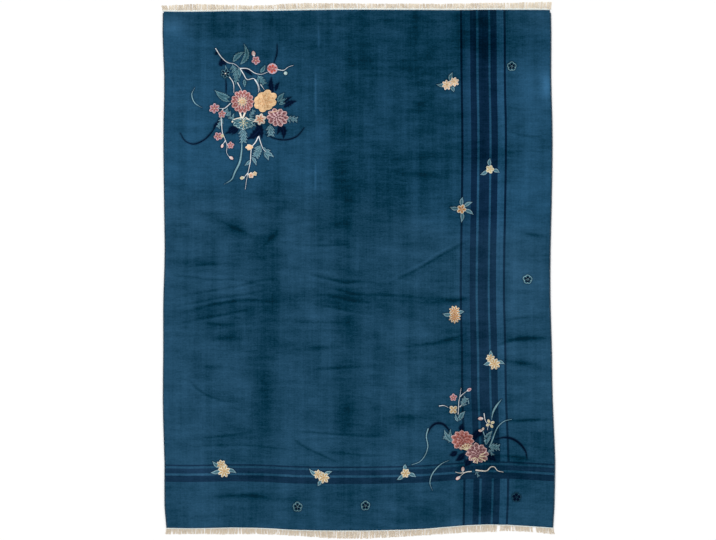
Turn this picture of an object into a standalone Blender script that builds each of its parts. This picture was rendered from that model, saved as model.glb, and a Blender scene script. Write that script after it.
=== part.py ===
"""A room-size Chinese rug lying flat.

It is one thick knotted pile, with a wrapped cord along each side and a fringed web at each end. Metres, +Z up.
+Y runs along the warp, from the near end of the rug to its far end, and +X runs across it from left to right.
The origin is on the floor, under the middle of the whole rug.
"""

import math
from collections import namedtuple

import bmesh
import bpy
import numpy as np

# The rug as it was woven
PILE_WIDTH = 2.73
PILE_LENGTH = 3.66
THICKNESS = 0.014
SHOULDER_WIDTH = 0.007
SHOULDER_DROP = 0.005

# The wrapped side cords, sewn along the pile
CORD_DIAMETER = 0.009
CORD_SEAM_GAP = 0.0003
CORD_SHORT_OF_END = 0.0015
CORD_SIDES_LEVEL = 2

# The woven web at each end, and the warp ends that hang out of it as fringe
WEB_WIDTH = 0.008
WEB_THICKNESS = 0.005
WEB_SEAM_GAP = 0.0006
LOCKS = 130
LOCK_GAP = 0.0035
LOCK_JITTER = 0.0012
LENGTH_JITTER = 0.0022
LOCK_BEND_AT = 0.5
LOCK_BEND_THICKNESS = 0.004
LOCK_TIP_THICKNESS = 0.0022
LOCK_TIP_SHARE = 0.68
SWAY = 0.005
SWAY_WAVES = 5.5
CORNER_SPLAY = 0.011
CORNER_SPLAY_REACH = 0.05
SEED = 12

# The spacing of the pile's rows and columns of faces, and the angle past which an edge stays sharp
STEP = 0.15
SHARP_EDGE = math.radians(40)

# How far each long side bulges past its straight line, by the height up the rug
Side = namedtuple("Side", "up left right")
SIDES = (
    Side(up=0.00, left=-0.018, right=0.010),
    Side(up=0.12, left=-0.006, right=0.018),
    Side(up=0.24, left=-0.004, right=0.021),
    Side(up=0.46, left=-0.005, right=0.025),
    Side(up=0.69, left=0.003, right=0.016),
    Side(up=0.92, left=0.007, right=0.006),
    Side(up=1.25, left=0.004, right=0.001),
    Side(up=1.60, left=0.004, right=-0.009),
    Side(up=1.93, left=-0.006, right=-0.009),
    Side(up=2.27, left=-0.002, right=-0.001),
    Side(up=2.83, left=0.003, right=0.005),
    Side(up=3.17, left=-0.003, right=-0.004),
    Side(up=3.51, left=0.009, right=-0.003),
    Side(up=3.66, left=0.007, right=-0.006),
)

# How far each end bulges past its straight line, and the length of its fringe, by the way across from the left
End = namedtuple("End", "across near far near_fringe far_fringe")
ENDS = (
    End(across=0.00, near=0.000, far=-0.008, near_fringe=0.042, far_fringe=0.036),
    End(across=0.19, near=0.003, far=-0.010, near_fringe=0.034, far_fringe=0.048),
    End(across=0.45, near=-0.003, far=-0.005, near_fringe=0.042, far_fringe=0.038),
    End(across=0.70, near=0.002, far=-0.004, near_fringe=0.038, far_fringe=0.034),
    End(across=0.87, near=0.012, far=-0.001, near_fringe=0.036, far_fringe=0.043),
    End(across=1.29, near=0.019, far=0.005, near_fringe=0.052, far_fringe=0.039),
    End(across=1.63, near=0.014, far=0.004, near_fringe=0.045, far_fringe=0.038),
    End(across=1.89, near=0.002, far=0.003, near_fringe=0.041, far_fringe=0.038),
    End(across=2.05, near=-0.014, far=0.002, near_fringe=0.044, far_fringe=0.040),
    End(across=2.29, near=-0.025, far=0.005, near_fringe=0.047, far_fringe=0.044),
    End(across=2.48, near=-0.019, far=0.004, near_fringe=0.036, far_fringe=0.045),
    End(across=2.65, near=-0.007, far=0.004, near_fringe=0.038, far_fringe=0.051),
    End(across=2.73, near=-0.002, far=0.003, near_fringe=0.040, far_fringe=0.052),
)

# Old fold lines that still show as soft troughs in the pile. Each runs either up the rug or across it.
Fold = namedtuple("Fold", "runs at depth reach")
FOLDS = (
    Fold(runs="up", at=0.76, depth=0.0016, reach=0.07),
    Fold(runs="up", at=1.29, depth=0.0022, reach=0.10),
    Fold(runs="across", at=1.64, depth=0.0020, reach=0.11),
)

# Where the near fringe has lost a lock, by the distance from the left side
FRINGE_BREAKS = (2.37, 2.61)

FLOOR = 0.0


def smooth(at, places, values):
    """A soft curve through the rows of a table, read at one place or at many."""
    places, values = np.array(places), np.array(values)
    slopes = np.gradient(values, places)
    row = np.clip(np.searchsorted(places, at, side="right") - 1, 0, len(places) - 2)
    span = places[row + 1] - places[row]
    share = np.clip((at - places[row]) / span, 0, 1)
    rise = values[row + 1] - values[row]
    ease = share * share * (3 - 2 * share)
    start_pull = share * (1 - share) ** 2 * slopes[row] * span
    end_pull = share**2 * (share - 1) * slopes[row + 1] * span
    return values[row] + rise * ease + start_pull + end_pull


def column(table, name):
    return [getattr(row, name) for row in table]


def left_edge(up):
    return -PILE_WIDTH / 2 - smooth(up, column(SIDES, "up"), column(SIDES, "left"))


def right_edge(up):
    return PILE_WIDTH / 2 + smooth(up, column(SIDES, "up"), column(SIDES, "right"))


def near_edge(across):
    return -PILE_LENGTH / 2 - smooth(across, column(ENDS, "across"), column(ENDS, "near"))


def far_edge(across):
    return PILE_LENGTH / 2 + smooth(across, column(ENDS, "across"), column(ENDS, "far"))


def on_rug(across, up):
    """Where a place in the straight weave lies on the real, slightly crooked rug."""
    share = across / PILE_WIDTH
    rise = up / PILE_LENGTH
    x = left_edge(up) * (1 - share) + right_edge(up) * share
    y = near_edge(across) * (1 - rise) + far_edge(across) * rise
    return x, y


def fold_depth(across, up):
    """How far the old fold lines pull the pile down at a place."""
    depth = 0.0
    for fold in FOLDS:
        off = abs((across if fold.runs == "up" else up) - fold.at) / fold.reach
        if off < 1:
            depth = max(depth, fold.depth * (1 + math.cos(math.pi * off)) / 2)
    return depth


def stations(length, runs):
    """The rows or columns of the pile: even steps, the shoulder at each end, and the flanks of each fold."""
    wanted = [0, SHOULDER_WIDTH, length - SHOULDER_WIDTH, length]
    for fold in FOLDS:
        if fold.runs == runs:
            wanted += [fold.at - fold.reach, fold.at, fold.at + fold.reach]
    count = round(length / STEP)
    for step in range(1, count):
        place = length * step / count
        if min(abs(place - other) for other in wanted) > STEP / 3:
            wanted.append(place)
    return sorted(wanted)


COLUMNS = stations(PILE_WIDTH, "up")
ROWS = stations(PILE_LENGTH, "across")


def finish(name, colour, roughness):
    """A plain matt finish, for wool or cotton."""
    material = bpy.data.materials.new(name)
    material.use_nodes = True
    shader = material.node_tree.nodes["Principled BSDF"]
    shader.inputs["Base Color"].default_value = (*colour, 1)
    shader.inputs["Roughness"].default_value = roughness
    shader.inputs["Metallic"].default_value = 0
    return material


def blue_pile_wool():
    return finish("blue_pile_wool", colour=(0.016, 0.060, 0.105), roughness=0.9)


def side_cord_wool():
    return finish("side_cord_wool", colour=(0.030, 0.072, 0.105), roughness=0.85)


def fringe_cotton():
    return finish("fringe_cotton", colour=(0.70, 0.64, 0.54), roughness=0.8)


def place(name, data, material, collection):
    """Adds one sub-part to the rug's collection."""
    part = bpy.data.objects.new(name, data)
    data.materials.append(material)
    collection.objects.link(part)
    return part


def knotted_pile(collection, wool):
    """The rug itself: a sheared wool pile, thick and flat, with rounded shoulders and soft fold lines."""
    shape = bmesh.new()
    bmesh.ops.create_grid(shape, x_segments=len(COLUMNS) - 1, y_segments=len(ROWS) - 1, size=0.5)
    for vertex in shape.verts:
        across = COLUMNS[round((vertex.co.x + 0.5) * (len(COLUMNS) - 1))]
        up = ROWS[round((vertex.co.y + 0.5) * (len(ROWS) - 1))]
        on_rim = across in (COLUMNS[0], COLUMNS[-1]) or up in (ROWS[0], ROWS[-1])
        height = THICKNESS - (SHOULDER_DROP if on_rim else fold_depth(across, up))
        vertex.co = (*on_rug(across, up), height)
    rim = [edge for edge in shape.edges if edge.is_boundary]
    skirt = bmesh.ops.extrude_edge_only(shape, edges=rim)["geom"]
    hem = [piece for piece in skirt if isinstance(piece, bmesh.types.BMVert)]
    for vertex in hem:
        vertex.co.z = FLOOR
    bmesh.ops.contextual_create(shape, geom=[edge for edge in shape.edges if edge.is_boundary])
    bmesh.ops.recalc_face_normals(shape, faces=shape.faces)
    mesh = bpy.data.meshes.new("knotted_pile")
    shape.to_mesh(mesh)
    shape.free()
    mesh.shade_smooth()
    mesh.set_sharp_from_angle(angle=SHARP_EDGE)
    return place("knotted_pile", mesh, wool, collection)


def side_cord(name, side, collection, wool):
    """A warp cord wrapped in wool, along one side of the pile. side is -1 on the left and 1 on the right."""
    edge = 0 if side < 0 else PILE_WIDTH
    stand_off = CORD_SEAM_GAP + CORD_DIAMETER / 2
    route = [on_rug(edge, up) for up in ROWS]
    curve = bpy.data.curves.new(name, "CURVE")
    curve.dimensions = "3D"
    curve.bevel_depth = CORD_DIAMETER / 2
    curve.bevel_resolution = CORD_SIDES_LEVEL
    curve.use_fill_caps = True
    spline = curve.splines.new("POLY")
    spline.points.add(len(route) - 1)
    for point, (x, y) in zip(spline.points, route):
        point.co = (x + side * stand_off, y, FLOOR + CORD_DIAMETER / 2, 1)
    spline.points[0].co.y += CORD_SHORT_OF_END
    spline.points[-1].co.y -= CORD_SHORT_OF_END
    return place(name, curve, wool, collection)


def lock_sway(across):
    """How far a lock's tip leans to the right: slow waves along the end, and a splay outwards at each corner."""
    wave = SWAY * math.sin(2 * math.pi * SWAY_WAVES * across / PILE_WIDTH)
    to_left = math.exp(-across / CORNER_SPLAY_REACH)
    to_right = math.exp((across - PILE_WIDTH) / CORNER_SPLAY_REACH)
    return wave + CORNER_SPLAY * (to_right - to_left)


def fringed_web(name, end, lengths, breaks, collection, cotton):
    """A woven web across one end, with the warp ends coming out of it in flat locks. end is -1 near and 1 far."""
    chance = np.random.default_rng(SEED + end)
    overhang = CORD_SEAM_GAP + CORD_DIAMETER
    up = 0 if end < 0 else PILE_LENGTH
    corners = np.array([on_rug(across, up) for across in COLUMNS])
    start, stop = corners[0, 0] - overhang, corners[-1, 0] + overhang
    pitch = (stop - start + LOCK_GAP) / LOCKS
    faces = 2 * LOCKS - 1
    shape = bmesh.new()
    bmesh.ops.create_grid(shape, x_segments=faces, y_segments=1, size=0.5)
    for vertex in shape.verts:
        cut = round((vertex.co.x + 0.5) * faces)
        x = start + (cut // 2) * pitch + (cut % 2) * (pitch - LOCK_GAP)
        seam = np.interp(x, corners[:, 0], corners[:, 1]) + end * WEB_SEAM_GAP
        outer = (vertex.co.y > 0) == (end > 0)
        vertex.co = (x, seam + (end * WEB_WIDTH if outer else 0), FLOOR)
    body = bmesh.ops.extrude_face_region(shape, geom=list(shape.faces))["geom"]
    for vertex in (piece for piece in body if isinstance(piece, bmesh.types.BMVert)):
        vertex.co.z += WEB_THICKNESS
    bmesh.ops.recalc_face_normals(shape, faces=shape.faces)
    shape.normal_update()
    roots = [face for face in shape.faces if face.normal.y * end > 0.5]
    roots.sort(key=lambda face: face.calc_center_median().x)
    for root in roots[::2]:
        across = min(max(root.calc_center_median().x + PILE_WIDTH / 2, 0), PILE_WIDTH)
        if any(abs(across - gap) < pitch / 2 for gap in breaks):
            continue
        length = float(smooth(across, column(ENDS, "across"), lengths))
        length += chance.uniform(-1, 1) * LENGTH_JITTER
        lean = lock_sway(across) + chance.uniform(-1, 1) * LOCK_JITTER
        grow_lock(shape, root, end * length, lean)
    mesh = bpy.data.meshes.new(name)
    shape.to_mesh(mesh)
    shape.free()
    return place(name, mesh, cotton, collection)


def grow_lock(shape, root, length, lean):
    """Draws one lock out of the web and along the floor: full width to its bend, then flatter and narrower."""
    sections = (
        (LOCK_BEND_AT, LOCK_BEND_THICKNESS, 1.0),
        (1.0, LOCK_TIP_THICKNESS, LOCK_TIP_SHARE),
    )
    base = [(vertex.co.x, vertex.co.y) for vertex in root.verts]
    middle = sum(x for x, _ in base) / len(base)
    face = root
    for along, thickness, share in sections:
        face = bmesh.ops.extrude_discrete_faces(shape, faces=[face])["faces"][0]
        for vertex, (x, y) in zip(face.verts, base):
            on_top = vertex.co.z > FLOOR + LOCK_TIP_THICKNESS / 2
            vertex.co.x = middle + (x - middle) * share + lean * along**2
            vertex.co.y = y + length * along
            vertex.co.z = FLOOR + (thickness if on_top else 0)


def centre_over_origin(parts):
    """Puts the middle of the whole rug's box over the origin."""
    bpy.context.view_layer.update()
    graph = bpy.context.evaluated_depsgraph_get()
    shapes = [part.evaluated_get(graph).to_mesh() for part in parts]
    places = np.array([vertex.co[:] for shape in shapes for vertex in shape.vertices])
    middle = (places.min(axis=0) + places.max(axis=0)) / 2
    for part in parts:
        part.location = (-middle[0], -middle[1], 0)


def main():
    for leftover in list(bpy.data.objects):
        bpy.data.objects.remove(leftover)
    collection = bpy.data.collections.new("chinese_rug")
    bpy.context.scene.collection.children.link(collection)
    cord_wool = side_cord_wool()
    cotton = fringe_cotton()
    parts = [
        knotted_pile(collection, blue_pile_wool()),
        side_cord("side_cord_left", -1, collection, cord_wool),
        side_cord("side_cord_right", 1, collection, cord_wool),
        fringed_web("fringe_near_end", -1, column(ENDS, "near_fringe"), FRINGE_BREAKS, collection, cotton),
        fringed_web("fringe_far_end", 1, column(ENDS, "far_fringe"), (), collection, cotton),
    ]
    centre_over_origin(parts)


main()
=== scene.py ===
"""The looks of a room-size Chinese rug: carved blue wool, wrapped sides and a cotton fringe at each end."""

import math
from collections import namedtuple

import bmesh
import bpy
import numpy as np
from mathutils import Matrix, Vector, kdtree
from mathutils.geometry import delaunay_2d_cdt


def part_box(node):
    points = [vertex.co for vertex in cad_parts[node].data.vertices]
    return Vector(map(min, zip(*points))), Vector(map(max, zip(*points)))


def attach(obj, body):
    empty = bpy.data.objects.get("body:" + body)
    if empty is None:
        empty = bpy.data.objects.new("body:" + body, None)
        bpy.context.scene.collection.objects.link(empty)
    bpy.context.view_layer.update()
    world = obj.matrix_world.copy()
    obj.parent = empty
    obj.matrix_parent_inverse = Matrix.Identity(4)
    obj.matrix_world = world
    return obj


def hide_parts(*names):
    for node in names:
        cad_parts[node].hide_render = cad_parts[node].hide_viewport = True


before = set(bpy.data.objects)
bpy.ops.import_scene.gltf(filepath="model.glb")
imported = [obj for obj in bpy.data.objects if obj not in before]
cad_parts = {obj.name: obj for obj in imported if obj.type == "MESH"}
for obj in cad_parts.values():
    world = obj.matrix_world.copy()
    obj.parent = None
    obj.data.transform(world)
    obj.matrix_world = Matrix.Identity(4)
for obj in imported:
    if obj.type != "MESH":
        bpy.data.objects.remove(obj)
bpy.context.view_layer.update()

# The foundation. Cotton warps and wefts carry the whole rug. It was woven square and has since pulled
# crooked, so a place is given as it was on the loom, in metres across from the left side and up from the
# near end. The rim of the solid pile says where that place lies now.

LOOM_WIDTH = 2.73
LOOM_LENGTH = 3.66
LOOM_SIZE = np.array([LOOM_WIDTH, LOOM_LENGTH])
FLOOR_LEVEL = 0.0005


def rim_sides(node):
    """The sides of the solid pile's rim on the floor: near, right, far and left, each from its low end."""
    slab = np.array([vertex.co[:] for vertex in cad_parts[node].data.vertices])
    ring = np.unique(slab[slab[:, 2] < FLOOR_LEVEL, :2].round(5), axis=0)
    ring = ring[np.argsort(np.arctan2(ring[:, 1], ring[:, 0]))]
    rising, falling = ring[:, 0] + ring[:, 1], ring[:, 0] - ring[:, 1]
    near_left, far_right = np.argmin(rising), np.argmax(rising)
    near_right, far_left = np.argmax(falling), np.argmin(falling)
    left = np.concatenate([ring[far_left:], ring[: near_left + 1]])[::-1]
    far = ring[far_right : far_left + 1][::-1]
    return ring[near_left : near_right + 1], ring[near_right : far_right + 1], far, left


def loom_stations(run, size):
    """Where the points of a side were on the loom, which spread them evenly from corner to corner."""
    return (run - run[0]) / (run[-1] - run[0]) * size


near_side, right_side, far_side, left_side = rim_sides("knotted_pile")
near_across = loom_stations(near_side[:, 0], LOOM_WIDTH)
far_across = loom_stations(far_side[:, 0], LOOM_WIDTH)
left_up = loom_stations(left_side[:, 1], LOOM_LENGTH)
right_up = loom_stations(right_side[:, 1], LOOM_LENGTH)


def on_rug(across, up):
    """Where places on the loom lie on the rug now."""
    share, rise = across / LOOM_WIDTH, up / LOOM_LENGTH
    left, right = np.interp(up, left_up, left_side[:, 0]), np.interp(up, right_up, right_side[:, 0])
    near, far = np.interp(across, near_across, near_side[:, 1]), np.interp(across, far_across, far_side[:, 1])
    return left * (1 - share) + right * share, near * (1 - rise) + far * rise


# The brushed nap. The pile is sheared level and brushed, and its tufts lean one way. Years of folding and
# treading have turned them here and there, which shows as darker and paler patches, streaks and troughs.
# That light and shade is painted into the colour, mixed with some uneven dye. So are the highlights at
# the far left corner and down the right side, and the shade and highlights of the creases.

PILE_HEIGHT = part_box("knotted_pile")[1][2]
Fold = namedtuple("Fold", "runs at depth reach")
FOLDS = (
    Fold(runs="up", at=0.76, depth=0.0016, reach=0.07),
    Fold(runs="up", at=1.29, depth=0.0022, reach=0.10),
    Fold(runs="across", at=1.64, depth=0.0020, reach=0.11),
)

# Each stroke of the nap: its middle, its half length and half width, its turn in degrees, and its paleness,
# mostly painted light above 0 and painted shade below 0, partly uneven dye
Stroke = namedtuple("Stroke", "across up along wide turn shade")
STROKES = (
    Stroke(across=1.25, up=2.57, along=0.30, wide=0.060, turn=90, shade=-0.22),
    Stroke(across=1.285, up=1.55, along=0.90, wide=0.060, turn=90, shade=-0.18),
    Stroke(across=1.42, up=1.90, along=1.20, wide=0.030, turn=90, shade=0.08),
    Stroke(across=0.765, up=1.75, along=0.55, wide=0.045, turn=88, shade=-0.20),
    Stroke(across=0.73, up=1.00, along=0.40, wide=0.090, turn=90, shade=-0.16),
    Stroke(across=0.50, up=2.12, along=0.15, wide=0.045, turn=-24, shade=-0.36),
    Stroke(across=0.74, up=2.05, along=0.11, wide=0.050, turn=42, shade=-0.30),
    Stroke(across=0.32, up=2.22, along=0.14, wide=0.030, turn=-8, shade=-0.14),
    Stroke(across=1.16, up=2.14, along=0.14, wide=0.045, turn=14, shade=-0.22),
    Stroke(across=0.24, up=1.89, along=0.18, wide=0.022, turn=0, shade=-0.20),
    Stroke(across=0.45, up=1.57, along=0.42, wide=0.050, turn=8, shade=-0.22),
    Stroke(across=0.28, up=1.79, along=0.24, wide=0.020, turn=-6, shade=0.16),
    Stroke(across=0.44, up=1.35, along=0.14, wide=0.026, turn=0, shade=-0.36),
    Stroke(across=1.10, up=1.285, along=0.10, wide=0.018, turn=0, shade=-0.42),
    Stroke(across=1.18, up=1.14, along=0.24, wide=0.030, turn=3, shade=-0.18),
    Stroke(across=0.32, up=1.14, along=0.07, wide=0.014, turn=0, shade=-0.42),
    Stroke(across=0.42, up=0.93, along=0.22, wide=0.022, turn=-14, shade=-0.10),
    Stroke(across=0.40, up=0.64, along=0.36, wide=0.030, turn=4, shade=-0.14),
    Stroke(across=1.22, up=1.62, along=0.26, wide=0.060, turn=-8, shade=-0.20),
    Stroke(across=1.28, up=1.78, along=0.20, wide=0.020, turn=-12, shade=0.18),
    Stroke(across=1.08, up=1.52, along=0.20, wide=0.035, turn=0, shade=0.14),
    Stroke(across=1.60, up=1.64, along=0.36, wide=0.040, turn=-3, shade=-0.18),
    Stroke(across=1.86, up=1.92, along=0.36, wide=0.070, turn=24, shade=0.06),
    Stroke(across=2.14, up=1.41, along=0.26, wide=0.030, turn=14, shade=-0.12),
    Stroke(across=2.04, up=1.60, along=0.16, wide=0.022, turn=0, shade=-0.30),
    Stroke(across=2.00, up=1.31, along=0.24, wide=0.028, turn=8, shade=-0.26),
    Stroke(across=2.56, up=1.325, along=0.12, wide=0.020, turn=0, shade=-0.50),
    Stroke(across=2.52, up=1.16, along=0.16, wide=0.026, turn=-6, shade=-0.36),
    Stroke(across=2.62, up=1.47, along=0.14, wide=0.022, turn=6, shade=-0.26),
    Stroke(across=2.60, up=2.07, along=0.13, wide=0.022, turn=-6, shade=-0.26),
    Stroke(across=2.56, up=0.75, along=0.16, wide=0.016, turn=6, shade=-0.30),
    Stroke(across=2.45, up=0.48, along=0.20, wide=0.030, turn=-6, shade=-0.22),
    Stroke(across=1.75, up=0.79, along=0.14, wide=0.024, turn=4, shade=-0.28),
    Stroke(across=1.82, up=0.11, along=0.10, wide=0.060, turn=60, shade=-0.26),
    Stroke(across=0.55, up=0.22, along=0.26, wide=0.026, turn=2, shade=-0.26),
    Stroke(across=1.20, up=0.25, along=0.20, wide=0.020, turn=6, shade=-0.18),
    Stroke(across=2.18, up=0.15, along=0.12, wide=0.150, turn=0, shade=-0.26),
    # Painted shade spread round the corner spray
    Stroke(across=2.22, up=0.62, along=0.22, wide=0.300, turn=0, shade=-0.16),
    Stroke(across=1.85, up=3.02, along=0.12, wide=0.030, turn=32, shade=-0.28),
    Stroke(across=1.92, up=2.50, along=0.24, wide=0.030, turn=2, shade=-0.24),
    Stroke(across=1.55, up=3.42, along=1.00, wide=0.200, turn=0, shade=-0.24),
    Stroke(across=1.45, up=2.85, along=0.60, wide=0.450, turn=0, shade=-0.18),
    Stroke(across=1.50, up=2.30, along=0.42, wide=0.260, turn=0, shade=-0.20),
    Stroke(across=2.00, up=2.36, along=0.22, wide=0.200, turn=0, shade=-0.10),
    Stroke(across=0.92, up=2.55, along=0.15, wide=0.060, turn=0, shade=0.16),
    Stroke(across=0.19, up=2.87, along=0.18, wide=0.012, turn=3, shade=0.24),
    Stroke(across=0.22, up=2.83, along=0.18, wide=0.012, turn=0, shade=-0.18),
    # Painted highlights: a bright patch at the far left corner and a pale strip down the right side
    Stroke(across=0.07, up=3.55, along=0.09, wide=0.070, turn=0, shade=0.75),
    Stroke(across=2.70, up=3.12, along=0.09, wide=0.030, turn=90, shade=0.95),
    Stroke(across=2.56, up=3.10, along=0.16, wide=0.110, turn=80, shade=0.30),
    Stroke(across=2.58, up=2.62, along=0.30, wide=0.110, turn=90, shade=0.14),
    Stroke(across=2.56, up=1.80, along=0.34, wide=0.110, turn=90, shade=0.16),
    Stroke(across=2.58, up=0.95, along=0.16, wide=0.110, turn=90, shade=0.14),
    Stroke(across=0.16, up=3.05, along=0.30, wide=0.500, turn=0, shade=0.20),
    Stroke(across=0.35, up=1.00, along=0.45, wide=0.600, turn=0, shade=0.05),
    Stroke(across=1.35, up=0.17, along=1.40, wide=0.120, turn=0, shade=-0.10),
    Stroke(across=0.03, up=1.90, along=1.60, wide=0.030, turn=90, shade=0.14),
    Stroke(across=1.30, up=3.59, along=1.15, wide=0.085, turn=0, shade=-0.26),
    Stroke(across=0.66, up=3.37, along=0.26, wide=0.070, turn=0, shade=-0.22),
    Stroke(across=2.62, up=2.95, along=0.36, wide=0.060, turn=90, shade=0.22),
    Stroke(across=2.37, up=3.02, along=0.20, wide=0.060, turn=90, shade=0.16),
    Stroke(across=0.60, up=2.72, along=0.36, wide=0.140, turn=0, shade=0.16),
    Stroke(across=0.22, up=2.85, along=0.42, wide=0.090, turn=90, shade=0.14),
    Stroke(across=1.70, up=2.86, along=0.20, wide=0.120, turn=90, shade=0.14),
    Stroke(across=2.20, up=2.63, along=0.42, wide=0.110, turn=0, shade=-0.32),
    Stroke(across=1.30, up=2.23, along=0.22, wide=0.110, turn=90, shade=-0.18),
    Stroke(across=0.60, up=2.36, along=0.45, wide=0.060, turn=0, shade=-0.20),
    Stroke(across=1.285, up=1.75, along=1.90, wide=0.130, turn=90, shade=-0.24),
    Stroke(across=0.70, up=1.15, along=0.85, wide=0.100, turn=90, shade=-0.24),
    Stroke(across=0.12, up=1.50, along=0.15, wide=0.070, turn=0, shade=-0.26),
    Stroke(across=0.45, up=1.45, along=0.20, wide=0.160, turn=0, shade=-0.12),
    Stroke(across=0.16, up=1.08, along=0.20, wide=0.070, turn=90, shade=0.18),
    Stroke(across=1.66, up=1.62, along=0.25, wide=0.140, turn=0, shade=-0.06),
    Stroke(across=1.50, up=1.10, along=0.50, wide=0.090, turn=90, shade=-0.14),
    Stroke(across=2.12, up=1.25, along=0.36, wide=0.140, turn=90, shade=-0.18),
    Stroke(across=2.55, up=1.33, along=0.20, wide=0.100, turn=0, shade=-0.22),
    Stroke(across=2.42, up=1.98, along=0.34, wide=0.160, turn=90, shade=0.20),
    Stroke(across=1.90, up=0.78, along=0.18, wide=0.100, turn=0, shade=-0.26),
    Stroke(across=1.88, up=0.42, along=0.14, wide=0.150, turn=0, shade=-0.20),
    Stroke(across=2.50, up=0.32, along=0.22, wide=0.120, turn=90, shade=-0.26),
    Stroke(across=1.90, up=0.09, along=0.32, wide=0.070, turn=0, shade=-0.22),
    Stroke(across=0.58, up=1.42, along=0.60, wide=0.450, turn=0, shade=-0.12),
    Stroke(across=2.17, up=3.08, along=0.28, wide=0.060, turn=90, shade=0.20),
    Stroke(across=2.48, up=2.56, along=0.20, wide=0.130, turn=0, shade=-0.20),
    Stroke(across=0.50, up=3.50, along=0.16, wide=0.080, turn=0, shade=-0.22),
    Stroke(across=0.98, up=2.18, along=0.14, wide=0.120, turn=0, shade=-0.14),
    Stroke(across=2.22, up=0.28, along=0.12, wide=0.080, turn=0, shade=0.24),
    Stroke(across=2.25, up=3.50, along=0.30, wide=0.120, turn=90, shade=-0.28),
)

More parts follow.
